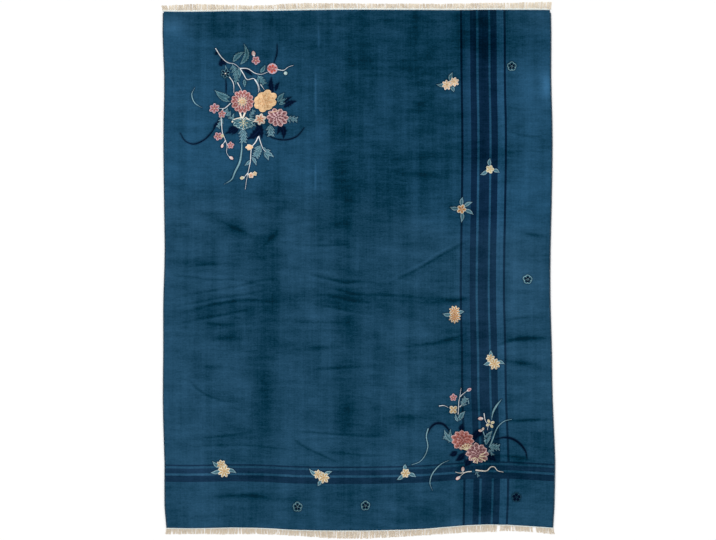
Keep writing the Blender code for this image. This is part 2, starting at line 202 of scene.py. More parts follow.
# Each crease: its way over the pile, its half width, how dark its trough is painted (above 0, a raised ridge
# painted pale), and how pale the lip below it is painted
Crease = namedtuple("Crease", "path wide shade lip")
CREASES = (
    Crease([(1.01, 1.81), (1.15, 1.775), (1.29, 1.745), (1.37, 1.75), (1.52, 1.74)], 0.010, -0.38, 0.26),
    Crease([(1.07, 1.726), (1.20, 1.70), (1.37, 1.662), (1.56, 1.655), (1.86, 1.63)], 0.008, -0.22, 0.20),
    Crease([(1.06, 1.655), (1.19, 1.648), (1.37, 1.61), (1.55, 1.60)], 0.008, -0.22, 0.16),
    Crease([(1.04, 1.60), (1.22, 1.565), (1.37, 1.534), (1.50, 1.53)], 0.008, -0.24, 0.14),
    Crease([(0.76, 1.47), (1.03, 1.466), (1.37, 1.463)], 0.007, -0.30, 0.05),
    Crease([(0.03, 1.80), (0.33, 1.76), (0.54, 1.754), (0.70, 1.72)], 0.009, -0.28, 0.10),
    Crease([(0.07, 1.64), (0.28, 1.675), (0.54, 1.715), (0.68, 1.755), (0.84, 1.77)], 0.008, -0.26, 0.20),
    Crease([(0.08, 1.575), (0.30, 1.615), (0.54, 1.65), (0.76, 1.69)], 0.008, -0.28, 0.16),
    Crease([(0.09, 1.515), (0.33, 1.58), (0.54, 1.608), (0.84, 1.604)], 0.010, -0.36, 0.10),
    Crease([(0.09, 1.449), (0.26, 1.484), (0.44, 1.513), (0.66, 1.558)], 0.009, -0.36, 0.12),
    Crease([(0.29, 1.449), (0.40, 1.438), (0.51, 1.435)], 0.012, -0.36, 0.0),
    Crease([(0.80, 2.031), (0.96, 2.01), (1.37, 2.01)], 0.006, -0.26, 0.06),
    Crease([(0.36, 2.19), (0.48, 2.13), (0.61, 2.07)], 0.012, -0.30, 0.0),
    Crease([(0.68, 1.98), (0.74, 2.04), (0.81, 2.12)], 0.013, -0.26, 0.0),
    Crease(
        [(1.59, 1.735), (1.71, 1.79), (1.83, 1.85), (1.95, 1.918), (2.06, 1.972), (2.17, 2.03)],
        0.010, -0.42, -0.10,
    ),
    # A raised ridge with a painted highlight along it
    Crease([(1.60, 1.765), (1.82, 1.87), (1.94, 1.94), (2.15, 2.05)], 0.009, 0.26, 0.0),
    Crease([(1.93, 1.625), (2.05, 1.60), (2.17, 1.62)], 0.010, -0.34, 0.06),
    Crease([(1.66, 1.29), (1.93, 1.31), (2.05, 1.335), (2.18, 1.38)], 0.011, -0.36, 0.12),
    Crease([(2.30, 1.25), (2.44, 1.31), (2.56, 1.335), (2.71, 1.34)], 0.011, -0.46, 0.10),
    Crease([(2.40, 1.45), (2.58, 1.485), (2.72, 1.492)], 0.009, -0.36, 0.10),
    Crease([(2.38, 1.17), (2.50, 1.155), (2.62, 1.15)], 0.011, -0.36, 0.0),
    Crease([(2.40, 0.735), (2.55, 0.75), (2.70, 0.765)], 0.008, -0.40, 0.10),
    Crease([(0.16, 1.07), (0.26, 0.97), (0.40, 0.905), (0.54, 0.895)], 0.008, -0.32, 0.12),
    Crease([(0.89, 0.66), (0.96, 0.60), (1.10, 0.53), (1.22, 0.475)], 0.010, -0.50, -0.10),
    Crease([(0.88, 0.70), (1.10, 0.685), (1.39, 0.664), (1.60, 0.66)], 0.007, -0.32, 0.14),
    Crease([(0.14, 0.58), (0.54, 0.586), (0.86, 0.565)], 0.007, -0.28, 0.10),
    Crease([(0.12, 0.628), (0.40, 0.65), (0.66, 0.68)], 0.007, -0.24, 0.08),
    Crease([(1.10, 0.56), (1.39, 0.53), (1.62, 0.52)], 0.007, -0.26, 0.08),
    Crease([(0.98, 1.125), (1.18, 1.14), (1.40, 1.155)], 0.009, -0.30, 0.0),
    Crease([(0.34, 0.22), (0.58, 0.231), (0.74, 0.216)], 0.010, -0.34, 0.10),
    Crease([(2.30, 0.49), (2.44, 0.485), (2.60, 0.465)], 0.012, -0.26, 0.0),
    # Three raised ridges with a painted highlight along them
    Crease([(1.095, 3.56), (1.095, 3.46), (1.092, 3.37)], 0.005, 0.50, 0.0),
    Crease([(1.068, 3.24), (1.066, 3.08), (1.066, 2.91)], 0.006, 0.74, 0.0),
    Crease([(1.066, 2.59), (1.066, 2.48), (1.066, 2.38)], 0.006, 0.58, 0.0),
    Crease([(0.20, 1.86), (0.28, 1.87), (0.41, 1.862)], 0.008, -0.28, 0.10),
    Crease([(2.42, 2.80), (2.52, 2.77), (2.66, 2.76)], 0.008, -0.26, 0.14),
    Crease([(2.40, 2.64), (2.55, 2.66), (2.68, 2.65)], 0.007, -0.24, 0.10),
    Crease([(2.53, 2.085), (2.60, 2.068), (2.68, 2.058)], 0.011, -0.34, 0.0),
)
CREASE_DEPTH = 0.0014
CREASE_STEP = 0.006
CREASE_SPREAD = 5
CREASE_TAPER = 0.6
LIP_PLACE = 2.4

# Where the worn part begins, lower on the right, and how wide its edge and the worn strip at the far end are
WORN_BELOW = 2.36
RIGHT_PART = 1.5
RIGHT_PART_SPAN = 0.5
RIGHT_PART_DROP = 0.26
WORN_EDGE = 0.30
WORN_FAR_STRIP = 3.46
FAR_STRIP_EDGE = 0.12
FAR_STRIP_WEAR = 0.75


def through(points, spacing):
    """A soft curve through a few points, as closely set points."""
    points = np.array(points, float)
    steps = np.linalg.norm(np.diff(points, axis=0), axis=1)
    marks = np.concatenate([[0], np.cumsum(steps)])
    slopes = np.gradient(points, marks, axis=0)
    at = np.linspace(0, marks[-1], max(4, round(marks[-1] / spacing)))
    leg = np.clip(np.searchsorted(marks, at, side="right") - 1, 0, len(steps) - 1)
    span = steps[leg][:, None]
    t = (at[:, None] - marks[leg][:, None]) / span
    ahead = points[leg] + (points[leg + 1] - points[leg]) * t * t * (3 - 2 * t)
    return ahead + t * (1 - t) ** 2 * slopes[leg] * span + t * t * (t - 1) * slopes[leg + 1] * span


def creased(across, up):
    """How deep the creases are at each place, and the painted shade and highlights they lay on the nap."""
    places = np.column_stack([across, up])
    depth, shade = np.zeros(len(places)), np.zeros(len(places))
    for crease in CREASES:
        spine = through(crease.path, CREASE_STEP)
        spread = CREASE_SPREAD * crease.wide
        near = (places > spine.min(axis=0) - spread) & (places < spine.max(axis=0) + spread)
        near = np.flatnonzero(near.all(axis=1))
        if not len(near):
            continue
        apart = places[near][:, None] - spine
        closest = np.linalg.norm(apart, axis=2).argmin(axis=1)
        ahead = np.gradient(spine, axis=0)
        ahead = (ahead / np.linalg.norm(ahead, axis=1)[:, None])[closest]
        apart = apart[np.arange(len(near)), closest]
        below = (ahead[:, 1] * apart[:, 0] - ahead[:, 0] * apart[:, 1]) / crease.wide
        along = (apart * ahead).sum(axis=1) / crease.wide
        fade = np.sin(np.pi * (closest + 0.5) / len(spine)) ** CREASE_TAPER * np.exp(-(along**2))
        trough, lip = np.exp(-(below**2)), np.exp(-((below - LIP_PLACE) ** 2))
        depth[near] += CREASE_DEPTH * -np.sign(crease.shade) * fade * trough
        # Painted shade in each trough and a painted highlight along each ridge; below it, a painted highlight
        # on the lip, or painted shade where lip is below 0.
        shade[near] += fade * (crease.shade * trough + crease.lip * lip)
    return depth, shade


def fold_depth(across, up):
    """How far the old fold lines and the creases pull the pile down."""
    depth = np.zeros_like(across)
    for fold in FOLDS:
        off = np.minimum(abs((across if fold.runs == "up" else up) - fold.at) / fold.reach, 1)
        depth = np.maximum(depth, fold.depth * (1 + np.cos(np.pi * off)) / 2)
    return depth + creased(across, up)[0]


def painted_nap_shading_at(across, up):
    """How much paler, or below 0 darker, the leaning tufts look: mostly painted light and shade, partly
    uneven dye.
    """
    shade = creased(across, up)[1]
    for stroke in STROKES:
        turn = math.radians(stroke.turn)
        right, ahead = across - stroke.across, up - stroke.up
        along = (right * math.cos(turn) + ahead * math.sin(turn)) / stroke.along
        beside = (ahead * math.cos(turn) - right * math.sin(turn)) / stroke.wide
        shade += stroke.shade * np.exp(-(along**2) - beside**2)
    return shade


def wear_at(across, up):
    """How greyed the tips are, from 0 to 1: fully in the near part and less at the far end."""
    kept_from = WORN_BELOW - RIGHT_PART_DROP * np.clip((across - RIGHT_PART) / RIGHT_PART_SPAN, 0, 1)
    worn = np.clip((kept_from - up) / WORN_EDGE + 0.5, 0, 1)
    far_strip = FAR_STRIP_WEAR * np.clip((up - WORN_FAR_STRIP) / FAR_STRIP_EDGE, 0, 1)
    return np.maximum(worn * worn * (3 - 2 * worn), far_strip)


# The dyed wool. Every colour of the pile is the same hand-spun wool from another dye pot. Its tufts catch
# the light with a soft sheen, part of it painted on as pale tips, and brushing has left fine streaks,
# most of them straight across the rug.

Streak = namedtuple("Streak", "across up detail strength")
STREAKS = (
    Streak(across=0.8, up=1.2, detail=2, strength=0.36),
    Streak(across=3.0, up=6.0, detail=4, strength=0.30),
    Streak(across=8.0, up=14.0, detail=3, strength=0.17),
    Streak(across=5.0, up=36.0, detail=3, strength=0.22),
    Streak(across=24.0, up=170.0, detail=1, strength=0.16),
    Streak(across=13.0, up=0.9, detail=3, strength=0.26),
    Streak(across=110.0, up=2.5, detail=1, strength=0.10),
    Streak(across=65.0, up=90.0, detail=2, strength=0.20),
    Streak(across=200.0, up=200.0, detail=1, strength=0.24),
)
KNOTS_PER_METRE = 290
TUFT_RELIEF = 0.0007
TUFT_STRENGTH = 0.6
# The darkest painted nap shade, and the painted sheen on the tips: its tints, amount, gain and limits
DARKEST_PAINTED_NAP = 0.30
WORN_TIP_SHEEN = (0.027, 0.016, 0.018, 1)
FRESH_TIP_SHEEN = (0.022, 0.016, 0.029, 1)
TIP_SHEEN_AT_REST, TIP_SHEEN_GAIN = 0.35, 0.75
DYE_FOR_FULL_SHEEN, MOST_TIP_SHEEN = 0.11, 1.5


def dye(red, green, blue):
    """A dye as light reflected, from its shade in daylight on the usual scale of 0 to 255."""
    shade = np.array([red, green, blue]) / 255
    return tuple(np.where(shade < 0.04045, shade / 12.92, ((shade + 0.055) / 1.055) ** 2.4).tolist())


def wire(tree, kind, feeds=(), **settings):
    """Adds a node with its options, and feeds its inputs, by name or number, with values or other outputs."""
    step = tree.nodes.new(kind)
    for option, value in settings.items():
        setattr(step, option, value)
    for socket, value in dict(feeds).items():
        if isinstance(value, bpy.types.NodeSocket):
            tree.links.new(value, step.inputs[socket])
        else:
            step.inputs[socket].default_value = value
    return step


def reckon(tree, operation, *terms):
    """One step of arithmetic in a shader."""
    return wire(tree, "ShaderNodeMath", enumerate(terms), operation=operation).outputs[0]


def blend(tree, share, first, second):
    """Two colours laid over each other in a shader."""
    return wire(tree, "ShaderNodeMix", {0: share, 6: first, 7: second}, data_type="RGBA").outputs[2]


def brushed_wool():
    """Turns a dye into the brushed nap's colour, with painted light, shade and sheen, and gives the tufts'
    relief.
    """
    group = bpy.data.node_groups.new("brushed_wool", "ShaderNodeTree")
    group.interface.new_socket("Dye", in_out="INPUT", socket_type="NodeSocketColor")
    group.interface.new_socket("Colour", in_out="OUTPUT", socket_type="NodeSocketColor")
    group.interface.new_socket("Normal", in_out="OUTPUT", socket_type="NodeSocketVector")
    colour = group.nodes.new("NodeGroupInput").outputs["Dye"]
    place = group.nodes.new("ShaderNodeTexCoord").outputs["Object"]
    # The nap attribute is the painted light and shade of the leaning tufts; the streaks add random brushing
    # marks to it.
    nap = wire(group, "ShaderNodeAttribute", attribute_name="nap").outputs["Fac"]
    for streak in STREAKS:
        scaled = wire(group, "ShaderNodeMapping", {"Vector": place, "Scale": (streak.across, streak.up, 1)})
        fineness = {"Vector": scaled.outputs[0], "Scale": 1, "Detail": streak.detail}
        noise = wire(group, "ShaderNodeTexNoise", fineness, noise_dimensions="2D")
        swing = reckon(group, "MULTIPLY_ADD", noise.outputs[0], 2 * streak.strength, -streak.strength)
        nap = reckon(group, "ADD", nap, swing)
    level = reckon(group, "MAXIMUM", reckon(group, "ADD", nap, 1.0), DARKEST_PAINTED_NAP)
    painted_nap_colour = wire(group, "ShaderNodeVectorMath", {0: colour, "Scale": level}, operation="SCALE").outputs[0]
    # A painted sheen: pale tips over the dye, more where the nap is painted pale and on brighter dyes, greyer
    # where worn.
    strength = wire(group, "ShaderNodeVectorMath", {0: colour}, operation="LENGTH").outputs["Value"]
    strength = reckon(group, "MINIMUM", reckon(group, "DIVIDE", strength, DYE_FOR_FULL_SHEEN), MOST_TIP_SHEEN)
    tips = reckon(group, "MAXIMUM", reckon(group, "MULTIPLY_ADD", nap, TIP_SHEEN_GAIN, TIP_SHEEN_AT_REST), 0.0)
    tips = reckon(group, "MULTIPLY", tips, strength)
    wear = wire(group, "ShaderNodeAttribute", attribute_name="wear").outputs["Fac"]
    tip_sheen_tint = blend(group, wear, FRESH_TIP_SHEEN, WORN_TIP_SHEEN)
    pale = wire(group, "ShaderNodeVectorMath", {0: tip_sheen_tint, "Scale": tips}, operation="SCALE").outputs[0]
    shown = wire(group, "ShaderNodeVectorMath", {0: painted_nap_colour, 1: pale}, operation="ADD").outputs[0]
    knots = {"Vector": place, "Scale": KNOTS_PER_METRE}
    tufts = wire(group, "ShaderNodeTexVoronoi", knots, voronoi_dimensions="2D")
    relief = reckon(group, "SUBTRACT", 1.0, tufts.outputs["Distance"])
    raised = {"Height": relief, "Distance": TUFT_RELIEF, "Strength": TUFT_STRENGTH}
    bump = wire(group, "ShaderNodeBump", raised)
    wire(group, "NodeGroupOutput", {"Colour": shown, "Normal": bump.outputs[0]})
    return group


def wool(name, dyed):
    """A woollen finish. dyed is called with the material's tree and gives the socket with its dye."""
    material = bpy.data.materials.new(name)
    material.use_nodes = True
    tree = material.node_tree
    look = wire(tree, "ShaderNodeGroup", node_tree=brushed)
    tree.links.new(dyed(tree), look.inputs["Dye"])
    shader = tree.nodes["Principled BSDF"]
    shader.inputs["Roughness"].default_value = 0.88
    shader.inputs["Specular IOR Level"].default_value = 0.0
    shader.inputs["Sheen Weight"].default_value = 0.015
    shader.inputs["Sheen Roughness"].default_value = 0.45
    shader.inputs["Sheen Tint"].default_value = (0.60, 0.80, 1.0, 1)
    tree.links.new(look.outputs["Colour"], shader.inputs["Base Color"])
    tree.links.new(look.outputs["Normal"], shader.inputs["Normal"])
    return material


brushed = brushed_wool()

# The flowers. They are knotted into the pile in their own dyes, and then clipped round with shears, so
# that every petal, leaf and twig stands up like a small cushion with a pale rim and a groove about it.

# How the shapes are drawn: depths, steps and widths in millimetres, the rest in shares of a shape's size
EDGE_DROP = 1.6
EDGE_SOFTENING = 0.3
SUNK = -5.0
MM = 0.001
SHARP_EDGE = math.radians(50)
NARROWEST_MIDDLE = 0.38
VEIN_SHARE = 0.14
VEIN_LENGTH = 0.7
TIP_SHARE = 0.8
THINNEST = 0.8
OVER_A_SHAPE = 0.006
OVER_A_RING = 0.2
OVER_A_FAN = 0.1
STEM_STEP = 9
PETAL_POINTS = 9
EYE_POINTS = 7
WIDEST_AT = 0.62
LEAF_SWAY = 0.2
LEAF_BELLY, LEAF_POINT = 0.8, 1.15
TOOTH, NOTCHED = 1.08, 0.7
FROND_BOW = 0.08
FIRST_LEAFLET, LEAFLETS_SPAN = 0.06, 0.60
LEAFLET_AHEAD, LEAFLET_OUT, LEAFLET_LOSS = 0.62, 0.60, 0.20
LEAFLET_BREADTH = 0.30
END_LEAFLET, END_LEAFLET_BREADTH = 0.42, 0.34
MIDRIB_WIDTH = 3.4
PETALS_MEET, BROADEST_PETAL = 1.48, 0.92
BLOSSOM_RIM, NARROW_RIM = 0.15, 0.19
BLOSSOM_ROOT, BLOSSOM_EYE = 0.04, 0.17
BUD_BREADTH, BUD_RIM = 0.72, 0.14
CUP_LENGTH, CUP_BREADTH = 0.36, 0.5
SET_BY_EYE = 0.05
Dyes = namedtuple("Dyes", "rim fill heart vein")

CREAM = dye(224, 210, 190)
IVORY = dye(232, 226, 212)
BUTTER = dye(222, 210, 170)
PEACH = dye(226, 184, 148)
SHELL = dye(208, 204, 188)
STRAW = dye(186, 178, 132)
SAND = dye(180, 158, 116)
OCHRE = dye(180, 136, 84)
UMBER = dye(168, 114, 62)
HONEY = dye(230, 198, 156)
WHEAT = dye(222, 184, 138)
TAN = dye(202, 158, 112)
AMBER = dye(200, 138, 96)
PINK = dye(206, 172, 168)
BLUSH = dye(206, 182, 170)
ROSE = dye(170, 110, 112)
CRIMSON = dye(122, 56, 62)
ORCHID = dye(206, 174, 174)
LILAC = dye(184, 162, 172)
EMBER = dye(200, 94, 70)
SALMON = dye(174, 112, 104)
CORAL = dye(170, 108, 94)
RUST = dye(132, 72, 66)
MAUVE = dye(162, 117, 114)
PLUM = dye(112, 70, 76)
FROST_TEAL = dye(142, 176, 178)
PALE_TEAL = dye(106, 146, 154)
TEAL = dye(62, 106, 118)
MIST_TEAL = dye(124, 158, 168)
DUSTY_TEAL = dye(84, 124, 136)
FROST = dye(186, 202, 198)
DIM_TEAL = dye(46, 90, 104)
PINK_SHELL = dye(206, 172, 170)
DUSK = dye(144, 112, 108)
DEEP_TEAL = dye(20, 66, 82)
SLATE = dye(106, 148, 166)
SAGE = dye(160, 178, 150)
NAVY = dye(2, 23, 50)
INK = dye(0, 15, 37)
TWIG = dye(214, 221, 226)
BARK = dye(152, 166, 176)

ROSE_ROUND = Dyes(rim=LILAC, fill=ROSE, heart=ROSE, vein=ROSE)
ROSE_PETALS = Dyes(rim=PINK, fill=ROSE, heart=CRIMSON, vein=CORAL)
INNER_ROSE = Dyes(rim=PINK, fill=CORAL, heart=CRIMSON, vein=RUST)
GOLD_PETALS = Dyes(rim=HONEY, fill=WHEAT, heart=TAN, vein=HONEY)
PALE_GOLD = Dyes(rim=HONEY, fill=WHEAT, heart=TAN, vein=TAN)
MAUVE_PETALS = Dyes(rim=ORCHID, fill=MAUVE, heart=PLUM, vein=PLUM)
DUSK_PETALS = Dyes(rim=ORCHID, fill=DUSK, heart=PLUM, vein=PLUM)
CORAL_PETALS = Dyes(rim=PINK_SHELL, fill=SALMON, heart=RUST, vein=RUST)
PLUM_BLOSSOM = Dyes(rim=LILAC, fill=ROSE, heart=CRIMSON, vein=CORAL)
RED_BLOSSOM = Dyes(rim=LILAC, fill=CORAL, heart=CRIMSON, vein=CORAL)
BLUSH_BLOSSOM = Dyes(rim=SHELL, fill=BLUSH, heart=AMBER, vein=CORAL)
PINK_BUD = Dyes(rim=ORCHID, fill=BLUSH, heart=CORAL, vein=SHELL)
PEACH_PETALS = Dyes(rim=SHELL, fill=PEACH, heart=AMBER, vein=HONEY)
PEACH_BLOSSOM = Dyes(rim=SHELL, fill=OCHRE, heart=UMBER, vein=UMBER)
CREAM_BLOSSOM = Dyes(rim=SHELL, fill=SAND, heart=SAND, vein=OCHRE)
APRICOT_BLOSSOM = Dyes(rim=IVORY, fill=PEACH, heart=HONEY, vein=WHEAT)
BUTTER_BLOSSOM = Dyes(rim=SHELL, fill=STRAW, heart=SAND, vein=STRAW)
APRICOT_STAR = Dyes(rim=CREAM, fill=WHEAT, heart=AMBER, vein=PEACH)
EMBER_PETALS = Dyes(rim=LILAC, fill=EMBER, heart=CRIMSON, vein=CRIMSON)
STAR_BLOSSOM = Dyes(rim=TEAL, fill=NAVY, heart=INK, vein=INK)
LOTUS_WINGS = Dyes(rim=FROST_TEAL, fill=DIM_TEAL, heart=DEEP_TEAL, vein=PALE_TEAL)
LOTUS_CUP = Dyes(rim=FROST, fill=DIM_TEAL, heart=SAGE, vein=BUTTER)
TEAL_LEAF = Dyes(rim=PALE_TEAL, fill=TEAL, heart=TEAL, vein=DEEP_TEAL)
PALE_LEAF = Dyes(rim=MIST_TEAL, fill=DUSTY_TEAL, heart=TEAL, vein=DEEP_TEAL)
NAVY_LEAF = Dyes(rim=NAVY, fill=INK, heart=INK, vein=NAVY)
NAVY_STEM = Dyes(rim=NAVY, fill=INK, heart=INK, vein=INK)
PALE_STEM = Dyes(rim=SLATE, fill=PALE_TEAL, heart=SLATE, vein=FROST_TEAL)
WOODY_STEM = Dyes(rim=BARK, fill=TWIG, heart=TWIG, vein=IVORY)
KNOTTY_STEM = Dyes(rim=BARK, fill=IVORY, heart=IVORY, vein=IVORY)
CREAM_EYE = Dyes(rim=CREAM, fill=IVORY, heart=IVORY, vein=IVORY)
STAMEN_WOOL = Dyes(rim=SAND, fill=BUTTER, heart=BUTTER, vein=CREAM)
FROST_EYE = Dyes(rim=FROST_TEAL, fill=FROST, heart=FROST, vein=FROST)
SAGE_EYE = Dyes(rim=SAGE, fill=BUTTER, heart=SAGE, vein=CREAM)
AMBER_EYE = Dyes(rim=SAND, fill=OCHRE, heart=OCHRE, vein=OCHRE)
GOLD_EYE = Dyes(rim=WHEAT, fill=HONEY, heart=HONEY, vein=WHEAT)
DARK_EYE = Dyes(rim=CRIMSON, fill=WHEAT, heart=WHEAT, vein=WHEAT)

# The rings of each large flower, outermost first: how many petals, where they start and end, and how broad
# they are, in hundredths of half the flower
Ring = namedtuple("Ring", "petals start reach broad")
POINTED_PEONY = (
    Ring(petals=11, start=50, reach=100, broad=54),
    Ring(petals=9, start=34, reach=82, broad=50),
    Ring(petals=8, start=18, reach=62, broad=44),
    Ring(petals=6, start=4, reach=42, broad=36),
    Ring(petals=3, start=0, reach=22, broad=26),
)
LATTICE_PEONY = (
    Ring(petals=10, start=54, reach=100, broad=52),
    Ring(petals=8, start=34, reach=76, broad=48),
    Ring(petals=6, start=14, reach=52, broad=42),
    Ring(petals=3, start=0, reach=28, broad=34),
)
GOLD_PEONY = (
    Ring(petals=8, start=34, reach=102, broad=72),
    Ring(petals=6, start=26, reach=92, broad=74),
    Ring(petals=7, start=14, reach=68, broad=50),
    Ring(petals=6, start=4, reach=46, broad=38),
    Ring(petals=4, start=0, reach=28, broad=26),
)
CHRYSANTHEMUM = (
    (Ring(petals=14, start=62, reach=100, broad=40), ROSE_PETALS),
    (Ring(petals=14, start=48, reach=80, broad=31), INNER_ROSE),
    (Ring(petals=12, start=36, reach=64, broad=27), ROSE_PETALS),
    (Ring(petals=9, start=12, reach=43, broad=20), APRICOT_STAR),
    (Ring(petals=7, start=4, reach=24, broad=13), GOLD_EYE),
)


class Spray:
    """A group of carved shapes. Their places are in millimetres right of and above its heart."""

    def __init__(self, across, up, seed):
        self.heart = np.array([across, up])
        self.chance = np.random.default_rng(seed)
        self.layer = 0.0
        self.places, self.heights, self.faces, self.dyes, self.outlines = [], [], [], [], []

    def ribbon(self, spine, half, dyes, rim=3.5, heart=0.0, notch=0.0, bed=None):
        """Carves a strip along a spine: a soft rim of one dye, a crowned middle of another, and its heart.

        A notch draws the tip in, or out if it is below 0, and a bed lays the whole strip out anew."""
        count = len(spine)
        ahead = np.gradient(spine, axis=0)
        ahead /= np.linalg.norm(ahead, axis=1)[:, None]
        beside = np.column_stack([-ahead[:, 1], ahead[:, 0]])
        inner = np.maximum(half - rim, NARROWEST_MIDDLE * half)
        vein = VEIN_SHARE * half
        offsets = np.column_stack([-half, -half, -inner, -vein, vein, inner, half, half])
        run = np.linspace(0, 1, count)
        pull = notch * run[:, None] ** 6 * (1 - abs(offsets) / half[:, None])
        plan = spine[:, None] + beside[:, None] * offsets[..., None] - ahead[:, None] * pull[..., None]
        if bed is not None:
            plan = bed(plan)
        ends = np.minimum(1, np.minimum(np.arange(count), np.arange(count)[::-1]) / 2)[:, None]
        soft = EDGE_DROP * EDGE_SOFTENING
        fall = np.array([0, EDGE_DROP, soft, 0, 0, soft, EDGE_DROP, 0])
        heights = self.layer - np.maximum(fall * np.ones((count, 1)), EDGE_DROP * (1 - ends))
        heights[:, [0, 7]] = SUNK
        first = sum(len(places) for places in self.places)
        self.places.append(self.heart + plan.reshape(-1, 2) * MM)
        self.heights.append(heights.ravel() * MM)
        self.outlines.append(self.heart + np.concatenate([plan[:, 1], plan[::-1, 6]]) * MM)
        travelled = np.concatenate([[0], np.cumsum(np.linalg.norm(np.diff(spine, axis=0), axis=1))])
        columns = offsets.shape[1]
        for row in range(count - 1):
            here = first + columns * row
            next_row = here + columns
            middle = (travelled[row] + travelled[row + 1]) / 2
            at_tip = travelled[-1] - middle < rim * TIP_SHARE
            inside = dyes.heart if middle < heart * travelled[-1] else dyes.fill
            line = dyes.vein if middle < VEIN_LENGTH * travelled[-1] else inside
            across = (dyes.rim, dyes.rim, inside, line, inside, dyes.rim, dyes.rim, dyes.rim)
            for column in range(columns):
                beyond = (column + 1) % columns
                self.faces.append((here + column, here + beyond, next_row + beyond, next_row + column))
                self.dyes.append(dyes.rim if at_tip else across[column])
        last = first + columns * (count - 1)
        self.faces += [tuple(range(first, first + columns)), tuple(range(last, last + columns))]
        self.dyes += [dyes.rim, dyes.rim]
        self.layer += OVER_A_SHAPE

    def stem(self, points, wide, dyes, taper=0.6, swell=False):
        """A twig, tendril or long blade through a few points. One that swells is widest in its middle."""
        spine = through(points, STEM_STEP)
        run = np.linspace(0, 1, len(spine))
        half = wide / 2 * (np.sin(np.pi * run) ** 0.8 if swell else 1 - taper * run)
        self.ribbon(spine, np.maximum(half, THINNEST), dyes, rim=1.2)

    def petal(
        self, at, turn, length, wide, dyes, blunt=6, waist=0.35, rim=3.5, heart=0.4, notch=0.0, bed=None
    ):
        """One petal from its root outwards. turn is in radians, and a high blunt gives a round tip."""
        run = (1 - np.cos(np.pi * np.linspace(0, 1, PETAL_POINTS))) / 2
        heading = np.array([math.cos(turn), math.sin(turn)])
        spine = np.array(at, float) + run[:, None] * length * heading
        open_out = waist + (1 - waist) * np.sin(np.pi / 2 * np.minimum(run / WIDEST_AT, 1))
        half = wide / 2 * open_out * np.sqrt(1 - run**blunt)
        self.ribbon(spine, np.maximum(half, THINNEST), dyes, rim, heart, notch, bed)

    def leaf(self, root, tip, wide, dyes, bend=0.5, teeth=0, rim=3.6):
        """A pointed leaf from root to tip, with a toothed edge if teeth is more than 0."""
        root, tip = np.array(root, float), np.array(tip, float)
        reach = tip - root
        side = np.array([-reach[1], reach[0]])
        run = np.linspace(0, 1, max(9, 2 * teeth + 3))
        spine = root + run[:, None] * reach + (np.sin(np.pi * run) * bend * LEAF_SWAY)[:, None] * side
        half = wide / 2 * np.sin(np.pi * run**LEAF_BELLY) ** LEAF_POINT
        if teeth:
            half *= np.where(np.arange(len(run)) % 2, TOOTH, NOTCHED)
        self.ribbon(spine, np.maximum(half, THINNEST), dyes, rim=min(rim, wide / 7), heart=0.25)

    def frond(self, root, tip, wide, dyes, pairs):
        """A leaf cut into narrow leaflets, in pairs along its rib and one at its tip."""
        root, tip = np.array(root, float), np.array(tip, float)
        reach = tip - root
        length = np.linalg.norm(reach)
        side = np.array([-reach[1], reach[0]]) / length
        bow = FROND_BOW * length * side
        for number in range(pairs + 1):
            share = FIRST_LEAFLET + LEAFLETS_SPAN * number / pairs
            at = root + share * reach + math.sin(math.pi * share) * bow
            for hand in (-1, 1):
                aside = hand * side * wide * (LEAFLET_OUT - LEAFLET_LOSS * share)
                out = at + reach / length * wide * LEAFLET_AHEAD + aside
                self.leaf(at, out, wide * LEAFLET_BREADTH, dyes, bend=-0.6 * hand)
        self.leaf(root + END_LEAFLET * reach + bow, tip, wide * END_LEAFLET_BREADTH, dyes, bend=0.1)
        self.stem([root, root + 0.5 * reach + bow, root + 0.85 * reach], MIDRIB_WIDTH, PALE_STEM)

    def ring(self, at, start, reach, count, wide, dyes, turn=0.0, uneven=0.05, **shape):
        """A ring of petals round a place, from start to reach out from it, each set a little by eye."""
        for number in range(count):
            way = turn + 2 * np.pi * number / count + self.chance.uniform(-SET_BY_EYE, SET_BY_EYE)
            root = np.array(at, float) + start * np.array([np.cos(way), np.sin(way)])
            long = (reach - start) * self.chance.uniform(1 - 1.5 * uneven, 1 + uneven)
            self.petal(root, way, long, wide, dyes, **shape)
        self.layer += OVER_A_RING

    def eye(self, at, radius, dyes):
        """The round middle of a flower."""
        run = (1 - np.cos(np.pi * np.linspace(0, 1, EYE_POINTS))) / 2
        spine = np.array(at, float) + np.column_stack([(2 * run - 1) * radius, 0 * run])
        self.ribbon(spine, np.maximum(radius * np.sqrt(1 - (2 * run - 1) ** 2), 0.6), dyes, rim=radius * 0.4)

    def blossom(self, at, radius, dyes, eye=DARK_EYE, count=5, turn=0.3):
        """A small open blossom: parted round petals with pale rims, and a dot in its middle."""
        wide = radius * min(PETALS_MEET * math.sin(math.pi / count), BROADEST_PETAL)
        rim = min(radius * BLOSSOM_RIM, wide * NARROW_RIM)
        self.ring(
            at, radius * BLOSSOM_ROOT, radius, count, wide, dyes, turn,
            rim=rim, blunt=3.2, waist=0.2, heart=0.42,
        )
        self.eye(at, radius * BLOSSOM_EYE, eye)

    def bud(self, at, turn, length, dyes, cup=WOODY_STEM):
        """A closed bud, held in its cup."""
        turn = math.radians(turn)
        self.petal(at, turn, length, length * BUD_BREADTH, dyes, blunt=3, rim=length * BUD_RIM)
        self.petal(at, turn, length * CUP_LENGTH, length * CUP_BREADTH, cup, blunt=2, rim=1.5)

    def chrysanthemum(self, at, radius):
        """A full round flower of rings of small petals about a pale star and a sage green middle."""
        for number, (tier, dyes) in enumerate(CHRYSANTHEMUM):
            start, reach, wide = (radius * share / 100 for share in (tier.start, tier.reach, tier.broad))
            turn = number * math.pi / tier.petals
            self.ring(at, start, reach, tier.petals, wide, dyes, turn, blunt=3.4, rim=5.0, heart=0.5)
        self.eye(at, radius * 0.08, SAGE_EYE)

